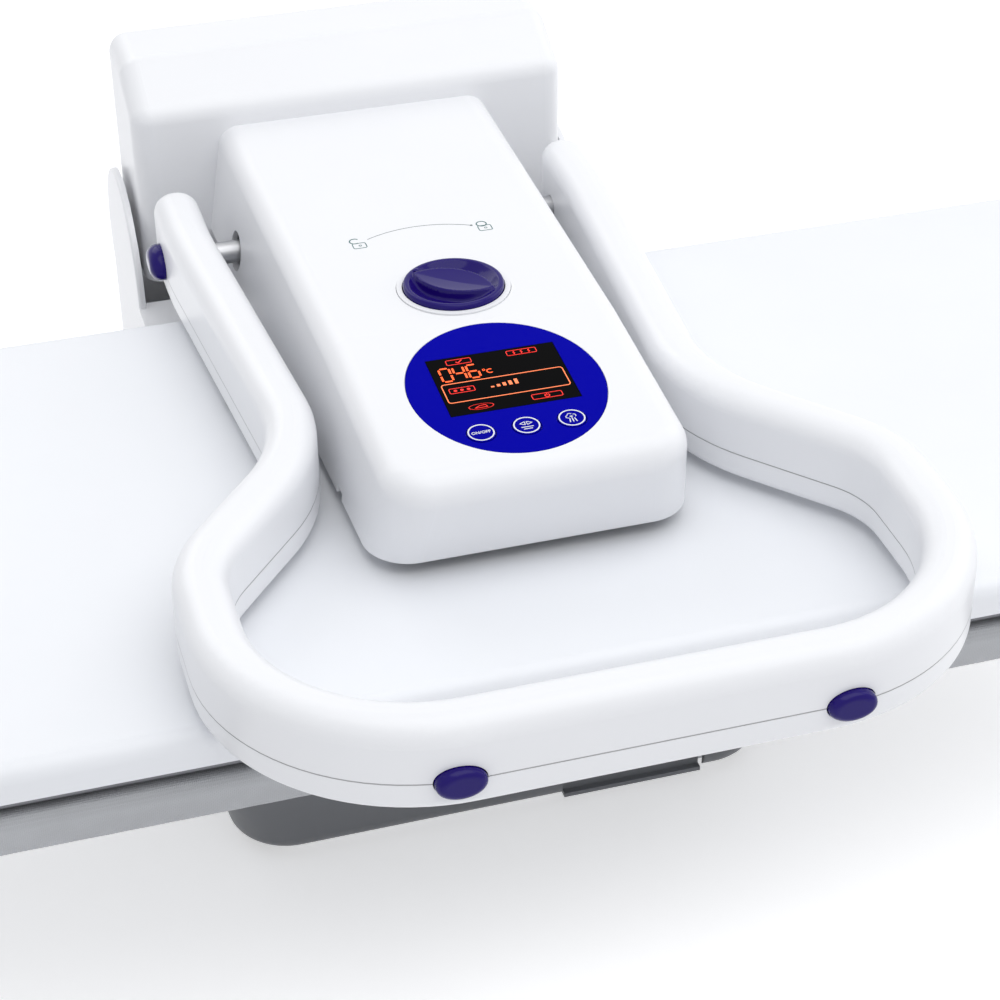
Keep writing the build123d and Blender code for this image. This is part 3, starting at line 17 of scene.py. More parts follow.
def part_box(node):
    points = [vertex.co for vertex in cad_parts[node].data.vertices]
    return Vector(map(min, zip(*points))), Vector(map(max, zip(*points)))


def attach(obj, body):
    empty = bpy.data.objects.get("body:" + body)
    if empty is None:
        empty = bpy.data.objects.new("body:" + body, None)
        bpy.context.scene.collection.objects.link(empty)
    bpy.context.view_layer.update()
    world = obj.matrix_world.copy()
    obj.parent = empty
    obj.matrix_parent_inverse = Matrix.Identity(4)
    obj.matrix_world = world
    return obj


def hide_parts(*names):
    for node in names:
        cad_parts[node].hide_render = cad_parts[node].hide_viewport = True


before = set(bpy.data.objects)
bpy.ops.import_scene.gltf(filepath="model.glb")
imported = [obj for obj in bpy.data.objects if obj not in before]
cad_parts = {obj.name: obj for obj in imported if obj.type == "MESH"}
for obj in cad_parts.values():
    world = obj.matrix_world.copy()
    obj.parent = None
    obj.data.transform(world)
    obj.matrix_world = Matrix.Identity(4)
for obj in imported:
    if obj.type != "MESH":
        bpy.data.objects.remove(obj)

LOG = logging.getLogger("ironing_press")
Colour = tuple[float, float, float, float]
Pair = tuple[float, float]
Place = tuple[float, float, float]
Socket = bpy.types.NodeSocket
Mesh = bmesh.types.BMesh
Edge = bmesh.types.BMEdge
Vert = bmesh.types.BMVert


def linear(code: str) -> Colour:
    """Turns a hex colour into the linear values that a shader socket takes.

    Args:
        code: Six hex digits, as in "f2f2f4".

    Returns:
        Red, green, blue and alpha.
    """
    parts = [int(code[i:i + 2], 16) / 255 for i in (0, 2, 4)]
    light = [p / 12.92 if p <= 0.04045 else ((p + 0.055) / 1.055) ** 2.4 for p in parts]
    return (light[0], light[1], light[2], 1.0)


def shade(colour: Colour, share: float) -> Colour:
    """A colour made darker or lighter by a share."""
    return (colour[0] * share, colour[1] * share, colour[2] * share, 1.0)


class Axis(Enum):
    """The axis that a grain or a brushing runs along."""

    X = 0
    Y = 1


class Graph:
    """The node tree of one material, with its principled shader in place."""

    noise_low = 0.3
    noise_high = 0.7

    def __init__(self, name: str) -> None:
        """Starts the material.

        Args:
            name: The material's name.
        """
        self.material = bpy.data.materials.new(name)
        self.material.use_nodes = True
        self.tree = self.material.node_tree
        self.tree.nodes.clear()
        self.shader = self.tree.nodes.new("ShaderNodeBsdfPrincipled")
        end = self.tree.nodes.new("ShaderNodeOutputMaterial")
        self.tree.links.new(self.shader.outputs["BSDF"], end.inputs["Surface"])
        self.place = self.tree.nodes.new("ShaderNodeTexCoord").outputs["Object"]

    def add(self, kind: str, inputs: dict, **settings: object) -> bpy.types.Node:
        """Adds a node and fills its sockets.

        Args:
            kind: The node's type name.
            inputs: Values or sockets by the name or number of the input.
            settings: Attributes of the node.

        Returns:
            The new node.
        """
        node = self.tree.nodes.new(kind)
        for key, value in settings.items():
            setattr(node, key, value)
        for key, value in inputs.items():
            self.put(node.inputs[key], value)
        return node

    def put(self, socket: Socket, value: object) -> None:
        """Links a socket to an input, or sets its value.

        Args:
            socket: The input.
            value: An output socket, a number, a colour or a vector.
        """
        if isinstance(value, Socket):
            self.tree.links.new(value, socket)
        else:
            socket.default_value = value

    def set(self, name: str, value: object) -> None:
        """Sets or links an input of the principled shader."""
        self.put(self.shader.inputs[name], value)

    def noise(self, scale: float, detail: float = 2.0, vector: Socket | None = None) -> Socket:
        """Smooth noise.

        Args:
            scale: Lumps to a metre.
            detail: Octaves of finer noise.
            vector: Coordinates, the object's own if none are given.

        Returns:
            The factor socket.
        """
        inputs = {"Vector": vector or self.place, "Scale": scale, "Detail": detail}
        return self.add("ShaderNodeTexNoise", inputs).outputs["Fac"]

    def bands(self, period: float, axis: Axis) -> Socket:
        """Even waves along one axis.

        Args:
            period: Metres from crest to crest.
            axis: The axis that the waves run across.

        Returns:
            The factor socket.
        """
        inputs = {"Vector": self.place, "Scale": math.pi / 10 / period}
        return self.add("ShaderNodeTexWave", inputs, bands_direction=axis.name).outputs["Fac"]

    def math(self, operation: str, *values: object) -> Socket:
        """A math node over values or sockets."""
        return self.add("ShaderNodeMath", dict(enumerate(values)), operation=operation).outputs[0]

    def mix(self, share: object, low: object, high: object) -> Socket:
        """Mixes the colours at a share of 0 and of 1."""
        return self.add("ShaderNodeMix", {0: share, 6: low, 7: high}, data_type="RGBA").outputs[2]

    def map(self, source: Socket, start: Pair, end: Pair) -> Socket:
        """Maps a factor from one range to another."""
        inputs = {0: source, 1: start[0], 2: start[1], 3: end[0], 4: end[1]}
        return self.add("ShaderNodeMapRange", inputs).outputs[0]

    def spread(self, source: Socket, low: float, high: float) -> Socket:
        """Spreads the middle part of a noise over a range."""
        return self.map(source, (self.noise_low, self.noise_high), (low, high))

    def mottle(self, source: Socket, colour: Colour, share: float) -> Socket:
        """Darkens a colour where a noise is low.

        Args:
            source: The noise.
            colour: The colour where the noise is high.
            share: How bright the darkest places are, as a share of the colour.

        Returns:
            The colour socket.
        """
        return self.mix(self.spread(source, 0.0, 1.0), shade(colour, share), colour)

    def relief(self, height: Socket, depth: float, under: Socket | None = None) -> Socket:
        """Bumps the surface.

        Args:
            height: The height's factor.
            depth: The height in metres.
            under: A relief that this one lies on.

        Returns:
            The normal socket, already given to the shader.
        """
        node = self.add("ShaderNodeBump", {"Height": height, "Distance": depth, "Strength": 1.0})
        if under is not None:
            self.put(node.inputs["Normal"], under)
        self.set("Normal", node.outputs[0])
        return node.outputs[0]


@dataclass(frozen=True)
class Finish(ABC):
    """The recipe of a material: its name, its main colour and the nodes that it lays."""

    name: str
    colour: str

    def build(self) -> bpy.types.Material:
        """Builds the material.

        Returns:
            The material.
        """
        graph = Graph(self.name)
        self.paint(graph, linear(self.colour))
        return graph.material

    @abstractmethod
    def paint(self, graph: Graph, colour: Colour) -> None:
        """Lays the nodes.

        Args:
            graph: The material's nodes.
            colour: The main colour.
        """


@dataclass(frozen=True)
class Moulding(Finish):
    """Injection-moulded plastic or enamel with a faint grain, soft flow marks and, where two
    shells meet, a sunk seam with painted shade in it.
    """

    roughness: float
    grain: float = 1600.0
    depth: float = 0.0000015
    drift: float = 0.03
    parting: float | None = None
    specular: float = 0.5

    flow_scale = 16.0
    ripple_scale = 60.0
    ripple = 0.0000012
    gloss_scale = 220.0
    gloss_range = (0.92, 1.08)
    line_half = (0.00012, 0.0003)
    line_depth = 0.0003
    # Share of the colour left in the seam band: painted shade for the groove between the shells.
    seam_painted_shade = 0.45

    def paint(self, graph: Graph, colour: Colour) -> None:
        """Lays the plastic's nodes."""
        tone = graph.mottle(graph.noise(self.flow_scale, 3.0), colour, 1 - self.drift)
        under = graph.relief(graph.noise(self.ripple_scale, 1.0), self.ripple)
        under = graph.relief(graph.noise(self.grain, 3.0), self.depth, under)
        if self.parting is not None:
            line = self.parting_line(graph)
            # The seam band is darkened with painted shade; the bump below sinks the groove itself.
            tone = graph.mix(line, tone, shade(colour, self.seam_painted_shade))
            graph.relief(graph.math("SUBTRACT", 1.0, line), self.line_depth, under)
        graph.set("Base Color", tone)
        low, high = (self.roughness * share for share in self.gloss_range)
        graph.set("Roughness", graph.spread(graph.noise(self.gloss_scale, 1.0), low, high))
        graph.set("Specular IOR Level", self.specular)

    def parting_line(self, graph: Graph) -> Socket:
        """A factor of 1 in a narrow band at the height where two shells meet."""
        height = graph.add("ShaderNodeSeparateXYZ", {0: graph.place}).outputs["Z"]
        off = graph.math("ABSOLUTE", graph.math("SUBTRACT", height, self.parting))
        return graph.map(off, self.line_half, (1.0, 0.0))


@dataclass(frozen=True)
class Metal(Finish):
    """Bare metal with its grain drawn along one axis."""

    roughness: float
    axis: Axis = Axis.X
    stain: float = 0.12

    scratch = 0.000012
    across, along = 900.0, 24.0

    def paint(self, graph: Graph, colour: Colour) -> None:
        """Lays the metal's nodes."""
        scale = [self.across] * 3
        scale[self.axis.value] = self.along
        place = graph.add("ShaderNodeMapping", {"Vector": graph.place, "Scale": scale}).outputs[0]
        drawn = graph.noise(1.0, 4.0, place)
        graph.set("Base Color", graph.mottle(graph.noise(28.0, 4.0), colour, 1 - self.stain))
        graph.set("Metallic", 1.0)
        graph.set("Roughness", graph.spread(drawn, self.roughness * 0.75, self.roughness * 1.3))
        graph.relief(drawn, self.scratch)


@dataclass(frozen=True)
class CastMetal(Finish):
    """Cast aluminium with a sandy skin and a polished bloom."""

    def paint(self, graph: Graph, colour: Colour) -> None:
        """Lays the casting's nodes."""
        sand = graph.noise(1400.0, 5.0)
        graph.set("Base Color", graph.mottle(graph.noise(22.0, 3.0), colour, 0.82))
        graph.set("Metallic", 0.85)
        graph.set("Roughness", graph.spread(sand, 0.34, 0.52))
        graph.relief(sand, 0.00002)


@dataclass(frozen=True)
class Weave(Finish):
    """Woven cloth with threads that cross over and under, under a metal coat."""

    period: float
    thread = 0.00007
    roughness = 0.45

    def paint(self, graph: Graph, colour: Colour) -> None:
        """Lays the cloth's nodes."""
        warp, weft = (graph.bands(self.period, axis) for axis in Axis)
        over = graph.add("ShaderNodeTexChecker", {"Vector": graph.place, "Scale": 1 / self.period})
        height = graph.add("ShaderNodeMix", {0: over.outputs["Fac"], 2: warp, 3: weft}).outputs[0]
        rub = graph.noise(30.0, 4.0)
        tone = graph.mottle(rub, colour, 0.86)
        graph.set("Base Color", graph.mix(graph.math("MULTIPLY", height, 0.3), tone,
                                          shade(colour, 0.6)))
        graph.set("Metallic", 0.4)
        graph.set("Roughness", graph.spread(rub, self.roughness * 0.85, self.roughness * 1.2))
        graph.set("Sheen Weight", 0.2)
        graph.relief(height, self.thread, graph.relief(graph.noise(90.0, 3.0), 0.0004))


@dataclass(frozen=True)
class Fibre(Finish):
    """Felt or foam, matt all over, with fibres or cells in its skin."""

    cell: float
    depth: float = 0.0003

    def paint(self, graph: Graph, colour: Colour) -> None:
        """Lays the felt's nodes."""
        cells = graph.add("ShaderNodeTexVoronoi", {"Vector": graph.place, "Scale": self.cell})
        fluff = graph.noise(self.cell / 3, 5.0)
        graph.set("Base Color", graph.mottle(fluff, colour, 0.75))
        graph.set("Roughness", graph.spread(fluff, 0.85, 1.0))
        graph.set("Sheen Weight", 0.25)
        graph.relief(cells.outputs["Distance"], self.depth)


@dataclass(frozen=True)
class Clear(Finish):
    """Tinted clear plastic or silicone."""

    roughness: float
    transmission: float
    ior: float = 1.46

    def paint(self, graph: Graph, colour: Colour) -> None:
        """Lays the clear plastic's nodes."""
        haze = graph.noise(140.0, 3.0)
        graph.set("Base Color", graph.mottle(haze, colour, 0.93))
        graph.set("Roughness", graph.spread(haze, self.roughness * 0.7, self.roughness * 1.5))
        graph.set("Transmission Weight", self.transmission)
        graph.set("IOR", self.ior)
        graph.relief(graph.noise(45.0, 2.0), 0.0001)


@dataclass(frozen=True)
class CircuitBoard(Finish):
    """Green solder mask over copper runs, with rows of pale pads."""

    bricks = {"Scale": 60.0, "Mortar Size": 0.03, "Brick Width": 0.7, "Row Height": 0.14}

    def paint(self, graph: Graph, colour: Colour) -> None:
        """Lays the board's nodes."""
        sizes = {"Vector": graph.place} | self.bricks
        runs = graph.add("ShaderNodeTexBrick", sizes).outputs["Fac"]
        mask = graph.mix(graph.noise(300.0, 2.0), colour, linear("146238"))
        traced = graph.mix(runs, mask, linear("2f8a55"))
        dots = graph.add("ShaderNodeTexVoronoi", {"Vector": graph.place, "Scale": 420.0})
        pads = graph.map(dots.outputs["Distance"], (0.13, 0.17), (1.0, 0.0))
        graph.set("Base Color", graph.mix(pads, traced, linear("b9bcb8")))
        graph.set("Metallic", graph.math("MULTIPLY", pads, 0.8))
        graph.set("Roughness", graph.spread(graph.noise(80.0), 0.25, 0.4))
        graph.relief(graph.math("ADD", runs, pads), 0.00004)


@dataclass(frozen=True)
class Braid(Finish):
    """Braided sleeve over wires."""

    period: float
    lay = (0.0, 0.6, math.pi / 4)

    def paint(self, graph: Graph, colour: Colour) -> None:
        """Lays the braid's nodes."""
        turned = graph.add("ShaderNodeMapping", {"Vector": graph.place, "Rotation": self.lay})
        inputs = {"Vector": turned.outputs[0], "Scale": 1 / self.period}
        weave = graph.add("ShaderNodeTexChecker", inputs).outputs["Fac"]
        graph.set("Base Color", graph.mix(weave, colour, shade(colour, 1.7)))
        graph.set("Roughness", graph.spread(graph.noise(400.0), 0.5, 0.7))
        graph.relief(weave, 0.0001)


@dataclass(frozen=True)
class Print(Finish):
    """Screen-printed ink, a little uneven in its cover, or a lit mark if it glows."""

    glow: float = 0.0

    def paint(self, graph: Graph, colour: Colour) -> None:
        """Lays the ink's nodes."""
        cover = graph.noise(2500.0, 2.0)
        tone = graph.mottle(cover, colour, 0.88)
        graph.set("Base Color", tone)
        graph.set("Roughness", graph.spread(cover, 0.35, 0.5))
        if self.glow:
            graph.set("Emission Color", tone)
            graph.set("Emission Strength", self.glow)
        graph.relief(cover, 0.000005)


@cache
def material_of(finish: Finish) -> bpy.types.Material:
    """A finish's material, built on first use."""
    return finish.build()


PARTING_HEIGHT = 0.1765
GRAINED = {"grain": 1500.0, "depth": 0.00002}
MARKED = {"grain": 2600.0, "depth": 0.000001, "specular": 0.02}

WHITE = Moulding("white_moulding", "eeeff2", 0.34, drift=0.012)
HANDLE_WHITE = Moulding("white_handle", "eeeff2", 0.32, drift=0.012, parting=PARTING_HEIGHT)
PLATE_WHITE = Moulding("white_plate", "eceef2", 0.4, grain=1300.0, depth=0.000003, drift=0.015)
GREY = Moulding("grey_moulding", "77797d", 0.42, drift=0.08, **GRAINED)
BLACK = Moulding("black_moulding", "1b1b1e", 0.42, drift=0.15, **GRAINED)
RUBBER = Moulding("foot_rubber", "232325", 0.75, grain=700.0, depth=0.00006, drift=0.2)
VIOLET = Moulding("violet_moulding", "180368", 0.12, grain=900.0, drift=0.1, specular=0.2)
VIOLET_DARK = Moulding("violet_dark_moulding", "1d0666", 0.22, grain=900.0, drift=0.1,
                       specular=0.25)
OVERLAY = Moulding("overlay_blue", "0000a0", 0.4, drift=0.05, **MARKED)
KEY_BLUE = Moulding("key_blue", "000098", 0.4, drift=0.06, **MARKED)
SCREEN = Moulding("screen_black", "040405", 0.22, grain=400.0, depth=0.000001, drift=0.3,
                  specular=0.02)
BUSH = Moulding("bush_polymer", "dcd7c4", 0.5, grain=900.0, depth=0.00001, drift=0.08)
PUMP = Moulding("pump_body", "2a2d31", 0.45, grain=1200.0, depth=0.00003, drift=0.15)
SOLE = CastMetal("cast_sole", "74757a")
STEEL = Metal("bare_steel", "c2c3c6", 0.34)
TRAY = Metal("tray_steel", "b4b6ba", 0.42, stain=0.2)
SPRING = Metal("spring_steel", "9a9ca1", 0.28, stain=0.25)
SHEATH = Metal("element_sheath", "6d5a4e", 0.48, Axis.Y, stain=0.35)
SILVER_CLOTH = Weave("silver_cloth", "b2b4b8", 0.0007)
FELT = Fibre("insulation_felt", "cfc8b4", 700.0)
FOAM = Fibre("pad_foam", "c9c4b0", 1100.0, 0.0002)
TANK = Clear("tank_clear", "d6e4ef", 0.1, 0.9)
SILICONE = Clear("hose_silicone", "e6e6df", 0.3, 0.45, 1.41)
LOOM = Braid("loom_sleeve", "2b2b2e", 0.0012)
BOARD = CircuitBoard("circuit_board", "0c4a2c")
WHITE_INK = Print("white_ink", "eef0f4")
TEAL_INK = Print("teal_ink", "3d6c6c")
GREY_INK = Print("grey_ink", "6e7a78")
LIT_ORANGE = Print("lit_orange", "ff5c20", 0.9)
LIT_RED = Print("lit_red", "e01c12", 0.7)
LIT_FRAME = Print("lit_frame", "f07a4a", 0.8)

NODE_FINISHES: dict[Finish, tuple[str, ...]] = {
    PLATE_WHITE: ("plate_cover",),
    SOLE: ("sole_plate", "steam_lid"),
    SHEATH: ("heating_element",),
    STEEL: ("plate_yoke", "base_screws", "hinge_brackets", "bracket_tie", "hinge_shaft",
            "shaft_clips", "lock_sector", "arm_screws", "arm_frame", "hanger_pin", "arm_clips",
            "lock_rod", "handle_strip", "handle_screws", "handle_shaft", "knob_shaft"),
    TRAY: ("board_tray", "board_posts", "base_plate"),
    SPRING: ("lift_springs", "handle_spring"),
    GREY: ("base_cover", "tank_bay", "tank_front"),
    WHITE: ("column_cover", "arm_top_cover", "arm_lower_cover", "hinge_hood", "knob_collar"),
    HANDLE_WHITE: ("handle_upper_shell", "handle_lower_shell"),
    BLACK: ("mains_gland", "plate_sensors", "steam_switches"),
    RUBBER: ("rubber_feet",),
    TANK: ("water_tank",),
    PUMP: ("water_pump",),
    SILICONE: ("base_hose", "arm_hose"),
    BOARD: ("power_board", "control_board"),
    BUSH: ("hinge_bushes",),
    VIOLET: ("handle_caps", "steam_button_left", "steam_button_right", "lock_knob"),
    VIOLET_DARK: ("filler_plug",),
    LOOM: ("wiring_loom",),
    OVERLAY: ("display_overlay",),
    SCREEN: ("display_screen",),
    KEY_BLUE: ("power_key", "mode_key", "steam_key"),
    FELT: ("insulation_mat",),
    FOAM: ("board_pad",),
    SILVER_CLOTH: ("board_cloth",),
}


def dress_nodes() -> None:
    """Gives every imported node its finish."""
    for finish, names in NODE_FINISHES.items():
        for name in names:
            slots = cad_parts[name].data.materials
            slots.clear()
            slots.append(material_of(finish))
            LOG.info("dressed %s in %s", name, finish.name)


@dataclass
class Piece:
    """One new piece: a bmesh on its way to becoming an object that rides on a body."""

    name: str
    body: str
    slot: str
    finish: Finish
    stands_for: tuple[str, ...] = ()
    smooth: bool = True
    bm: Mesh = field(default_factory=bmesh.new)

    def make(self, weld: float = 1e-6) -> bpy.types.Object:
        """Turns the bmesh into the finished object.

        Args:
            weld: Distance within which doubled vertices merge.

        Returns:
            The object, riding on its body.
        """
        bmesh.ops.remove_doubles(self.bm, verts=self.bm.verts, dist=weld)
        bmesh.ops.recalc_face_normals(self.bm, faces=self.bm.faces)
        for face in self.bm.faces:
            face.smooth = self.smooth
        mesh = mesh_of(self.name, self.bm, material_of(self.finish))
        piece = stand(self.name, mesh)
        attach(piece, self.body)
        if self.stands_for:
            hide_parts(*self.stands_for)
        LOG.info("made %s on %s with %d faces", self.name, self.body, len(mesh.polygons))
        return piece


def mesh_of(name: str, bm: Mesh, material: bpy.types.Material) -> bpy.types.Mesh:
    """Turns a bmesh into a mesh of one material."""
    mesh = bpy.data.meshes.new(name)
    bm.to_mesh(mesh)
    bm.free()
    mesh.materials.append(material)
    return mesh


def stand(name: str, data: bpy.types.ID) -> bpy.types.Object:
    """Puts a mesh, a curve, a lamp or a camera into the scene."""
    made = bpy.data.objects.new(name, data)
    bpy.context.scene.collection.objects.link(made)
    return made


def fresh(result: dict, kind: type = Vert) -> list:
    """The elements of one kind in an operator's result."""
    return [e for e in result["geom"] if isinstance(e, kind)]


def grow(bm: Mesh, ring: list) -> tuple[list, list]:
    """Extrudes a ring of edges.

    Args:
        bm: The mesh.
        ring: The edges.

    Returns:
        The new vertices, and the new edges that lie open.
    """
    grown = bmesh.ops.extrude_edge_only(bm, edges=ring)
    return fresh(grown), [e for e in fresh(grown, Edge) if e.is_boundary]


def round_off(bm: Mesh, geom: list, offset: float, segments: int, affect: str = "EDGES") -> None:
    """Rounds edges or corners off.

    Args:
        bm: The mesh.
        geom: The edges or vertices.
        offset: How far the round reaches.
        segments: Faces across the round.
        affect: EDGES or VERTICES.
    """
    bmesh.ops.bevel(bm, geom=geom, offset=offset, affect=affect, segments=segments, profile=0.5,
                    material=-1)


def slice_sheet(bm: Mesh, axis: int, places: Iterable[float], near: float) -> None:
    """Cuts a flat sheet into cells.

    Args:
        bm: The sheet.
        axis: 0 for cuts across x, 1 across y.
        places: Where the cuts lie on that axis.
        near: Distance within which a vertex counts as on the cut.
    """
    normal = Vector((1, 0, 0)) if axis == 0 else Vector((0, 1, 0))
    for at in places:
        geom = bm.verts[:] + bm.edges[:] + bm.faces[:]
        bmesh.ops.bisect_plane(bm, geom=geom, plane_co=normal * at, plane_no=normal, dist=near)


def thicken(piece: bpy.types.Object, thickness: float, offset: float) -> None:
    """Gives a sheet its thickness, below its skin at an offset of -1."""
    wall = piece.modifiers.new("thickness", "SOLIDIFY")
    wall.thickness = thickness
    wall.offset = offset


def skin_of(node: str) -> BVHTree:
    """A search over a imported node's skin."""
    return BVHTree.FromObject(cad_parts[node], bpy.context.evaluated_depsgraph_get())


def drop_onto(skin: BVHTree, x: float, y: float) -> Vector | None:
    """The highest point of a skin above a place, if there is one."""
    return skin.ray_cast(Vector((x, y, 1.0)), Vector((0, 0, -1)))[0]


@dataclass
class Ink:
    """Draws thin strokes with bmesh operators on a flat plane of its own."""

    bm: Mesh
    width: float

    rise, sunk = 0.00006, 0.00003
    height = rise + sunk
    middle = (rise - sunk) / 2

    def bar(self, start: Pair, end: Pair, width: float | None = None) -> None:
        """A straight stroke.

        Args:
            start: Its first end, as x and y.
            end: Its other end.
            width: Its width, the pen's own if none is given.
        """
        a, b = Vector((*start, 0.0)), Vector((*end, 0.0))
        made = bmesh.ops.create_cube(self.bm, size=1.0)["verts"]
        size = Matrix.Diagonal(((b - a).length, width or self.width, self.height, 1.0))
        turn = Matrix.Rotation(math.atan2(b.y - a.y, b.x - a.x), 4, "Z")
        middle = (a + b) / 2 + Vector((0, 0, self.middle))
        bmesh.ops.transform(self.bm, matrix=Matrix.Translation(middle) @ turn @ size, verts=made)

    def arc(self, centre: Pair, radius: float, start: float = 0.0, end: float = 360.0,
            squeeze: float = 1.0, steps: int = 32, width: float | None = None) -> None:
        """A round stroke, whole or in part.

        Args:
            centre: Its centre.
            radius: Its radius along x.
            start: The angle in degrees where it starts.
            end: The angle where it ends.
            squeeze: Its radius along y as a share of the other.
            steps: Segments along it.
            width: Its width, the pen's own if none is given.
        """
        whole = end - start >= 360.0
        quad = bmesh.ops.create_grid(self.bm, x_segments=1, y_segments=1, size=0.5)["verts"]
        size = Matrix.Diagonal((width or self.width, self.height, 1.0, 1.0))
        upright = Matrix.Rotation(math.pi / 2, 4, "X")
        shift = Matrix.Translation((radius, 0, self.middle))
        aim = Matrix.Rotation(math.radians(start), 4, "Z")
        bmesh.ops.transform(self.bm, matrix=aim @ shift @ upright @ size, verts=quad)
        faces = list({f for v in quad for f in v.link_faces})
        edges = list({e for v in quad for e in v.link_edges})
        if whole:
            bmesh.ops.delete(self.bm, geom=faces, context="FACES_ONLY")
            faces = []
        before = set(self.bm.verts) - set(quad)
        bmesh.ops.spin(self.bm, geom=quad + edges + faces, cent=(0, 0, 0), axis=(0, 0, 1),
                       angle=math.radians(min(end - start, 360.0)), steps=steps, use_merge=whole,
                       use_duplicate=False)
        made = [v for v in self.bm.verts if v not in before]
        bmesh.ops.scale(self.bm, vec=(1, squeeze, 1), verts=made)
        bmesh.ops.translate(self.bm, vec=(*centre, 0.0), verts=made)

    def frame(self, centre: Pair, size: Pair, corner: float) -> None:
        """A rounded rectangle's outline.

        Args:
            centre: Its centre.
            size: Its width and height, stroke centre to stroke centre.
            corner: The radius of its corners.
        """
        x, y = centre
        w, h = size[0] / 2, size[1] / 2
        for side in (-1, 1):
            self.bar((x - w + corner, y + side * h), (x + w - corner, y + side * h))
            self.bar((x + side * w, y - h + corner), (x + side * w, y + h - corner))
        for sx, sy, start in ((1, 1, 0), (-1, 1, 90), (-1, -1, 180), (1, -1, 270)):
            middle = (x + sx * (w - corner), y + sy * (h - corner))
            self.arc(middle, corner, start, start + 90, steps=6)

    def run(self, points: Iterable[Pair], width: float | None = None) -> None:
        """Straight strokes from point to point, with round joints.

        Args:
            points: The points in order.
            width: Their width.
        """
        path = list(points)
        for a, b in zip(path, path[1:]):
            self.bar(a, b, width)
        for middle in path[1:-1]:
            self.dot(middle, (width or self.width) / 2, 8)

    def dot(self, centre: Pair, radius: float, steps: int) -> None:
        """A filled round spot.

        Args:
            centre: Its centre.
            radius: Its radius.
            steps: Segments round it.
        """
        place = Matrix.Translation((*centre, self.middle))
        bmesh.ops.create_cone(self.bm, cap_ends=True, segments=steps, radius1=radius,
                              radius2=radius, depth=self.height, matrix=place)


def lettering(text: str, height: float) -> bpy.types.Mesh:
    """Plain letters as a thin mesh, centred on the origin.

    Args:
        text: The letters.
        height: Height of a capital, in metres.

    Returns:
        The mesh.
    """
    capital_share = 0.7
    curve = bpy.data.curves.new("letters", "FONT")
    curve.body = text
    curve.size = height / capital_share
    curve.extrude = 0.00004
    curve.offset = height * 0.02
    curve.align_x = curve.align_y = "CENTER"
    curve.resolution_u = 3
    holder = stand("letters", curve)
    bpy.context.view_layer.update()
    graph = bpy.context.evaluated_depsgraph_get()
    mesh = bpy.data.meshes.new_from_object(holder.evaluated_get(graph))
    bpy.data.objects.remove(holder)
    bpy.data.curves.remove(curve)
    return mesh


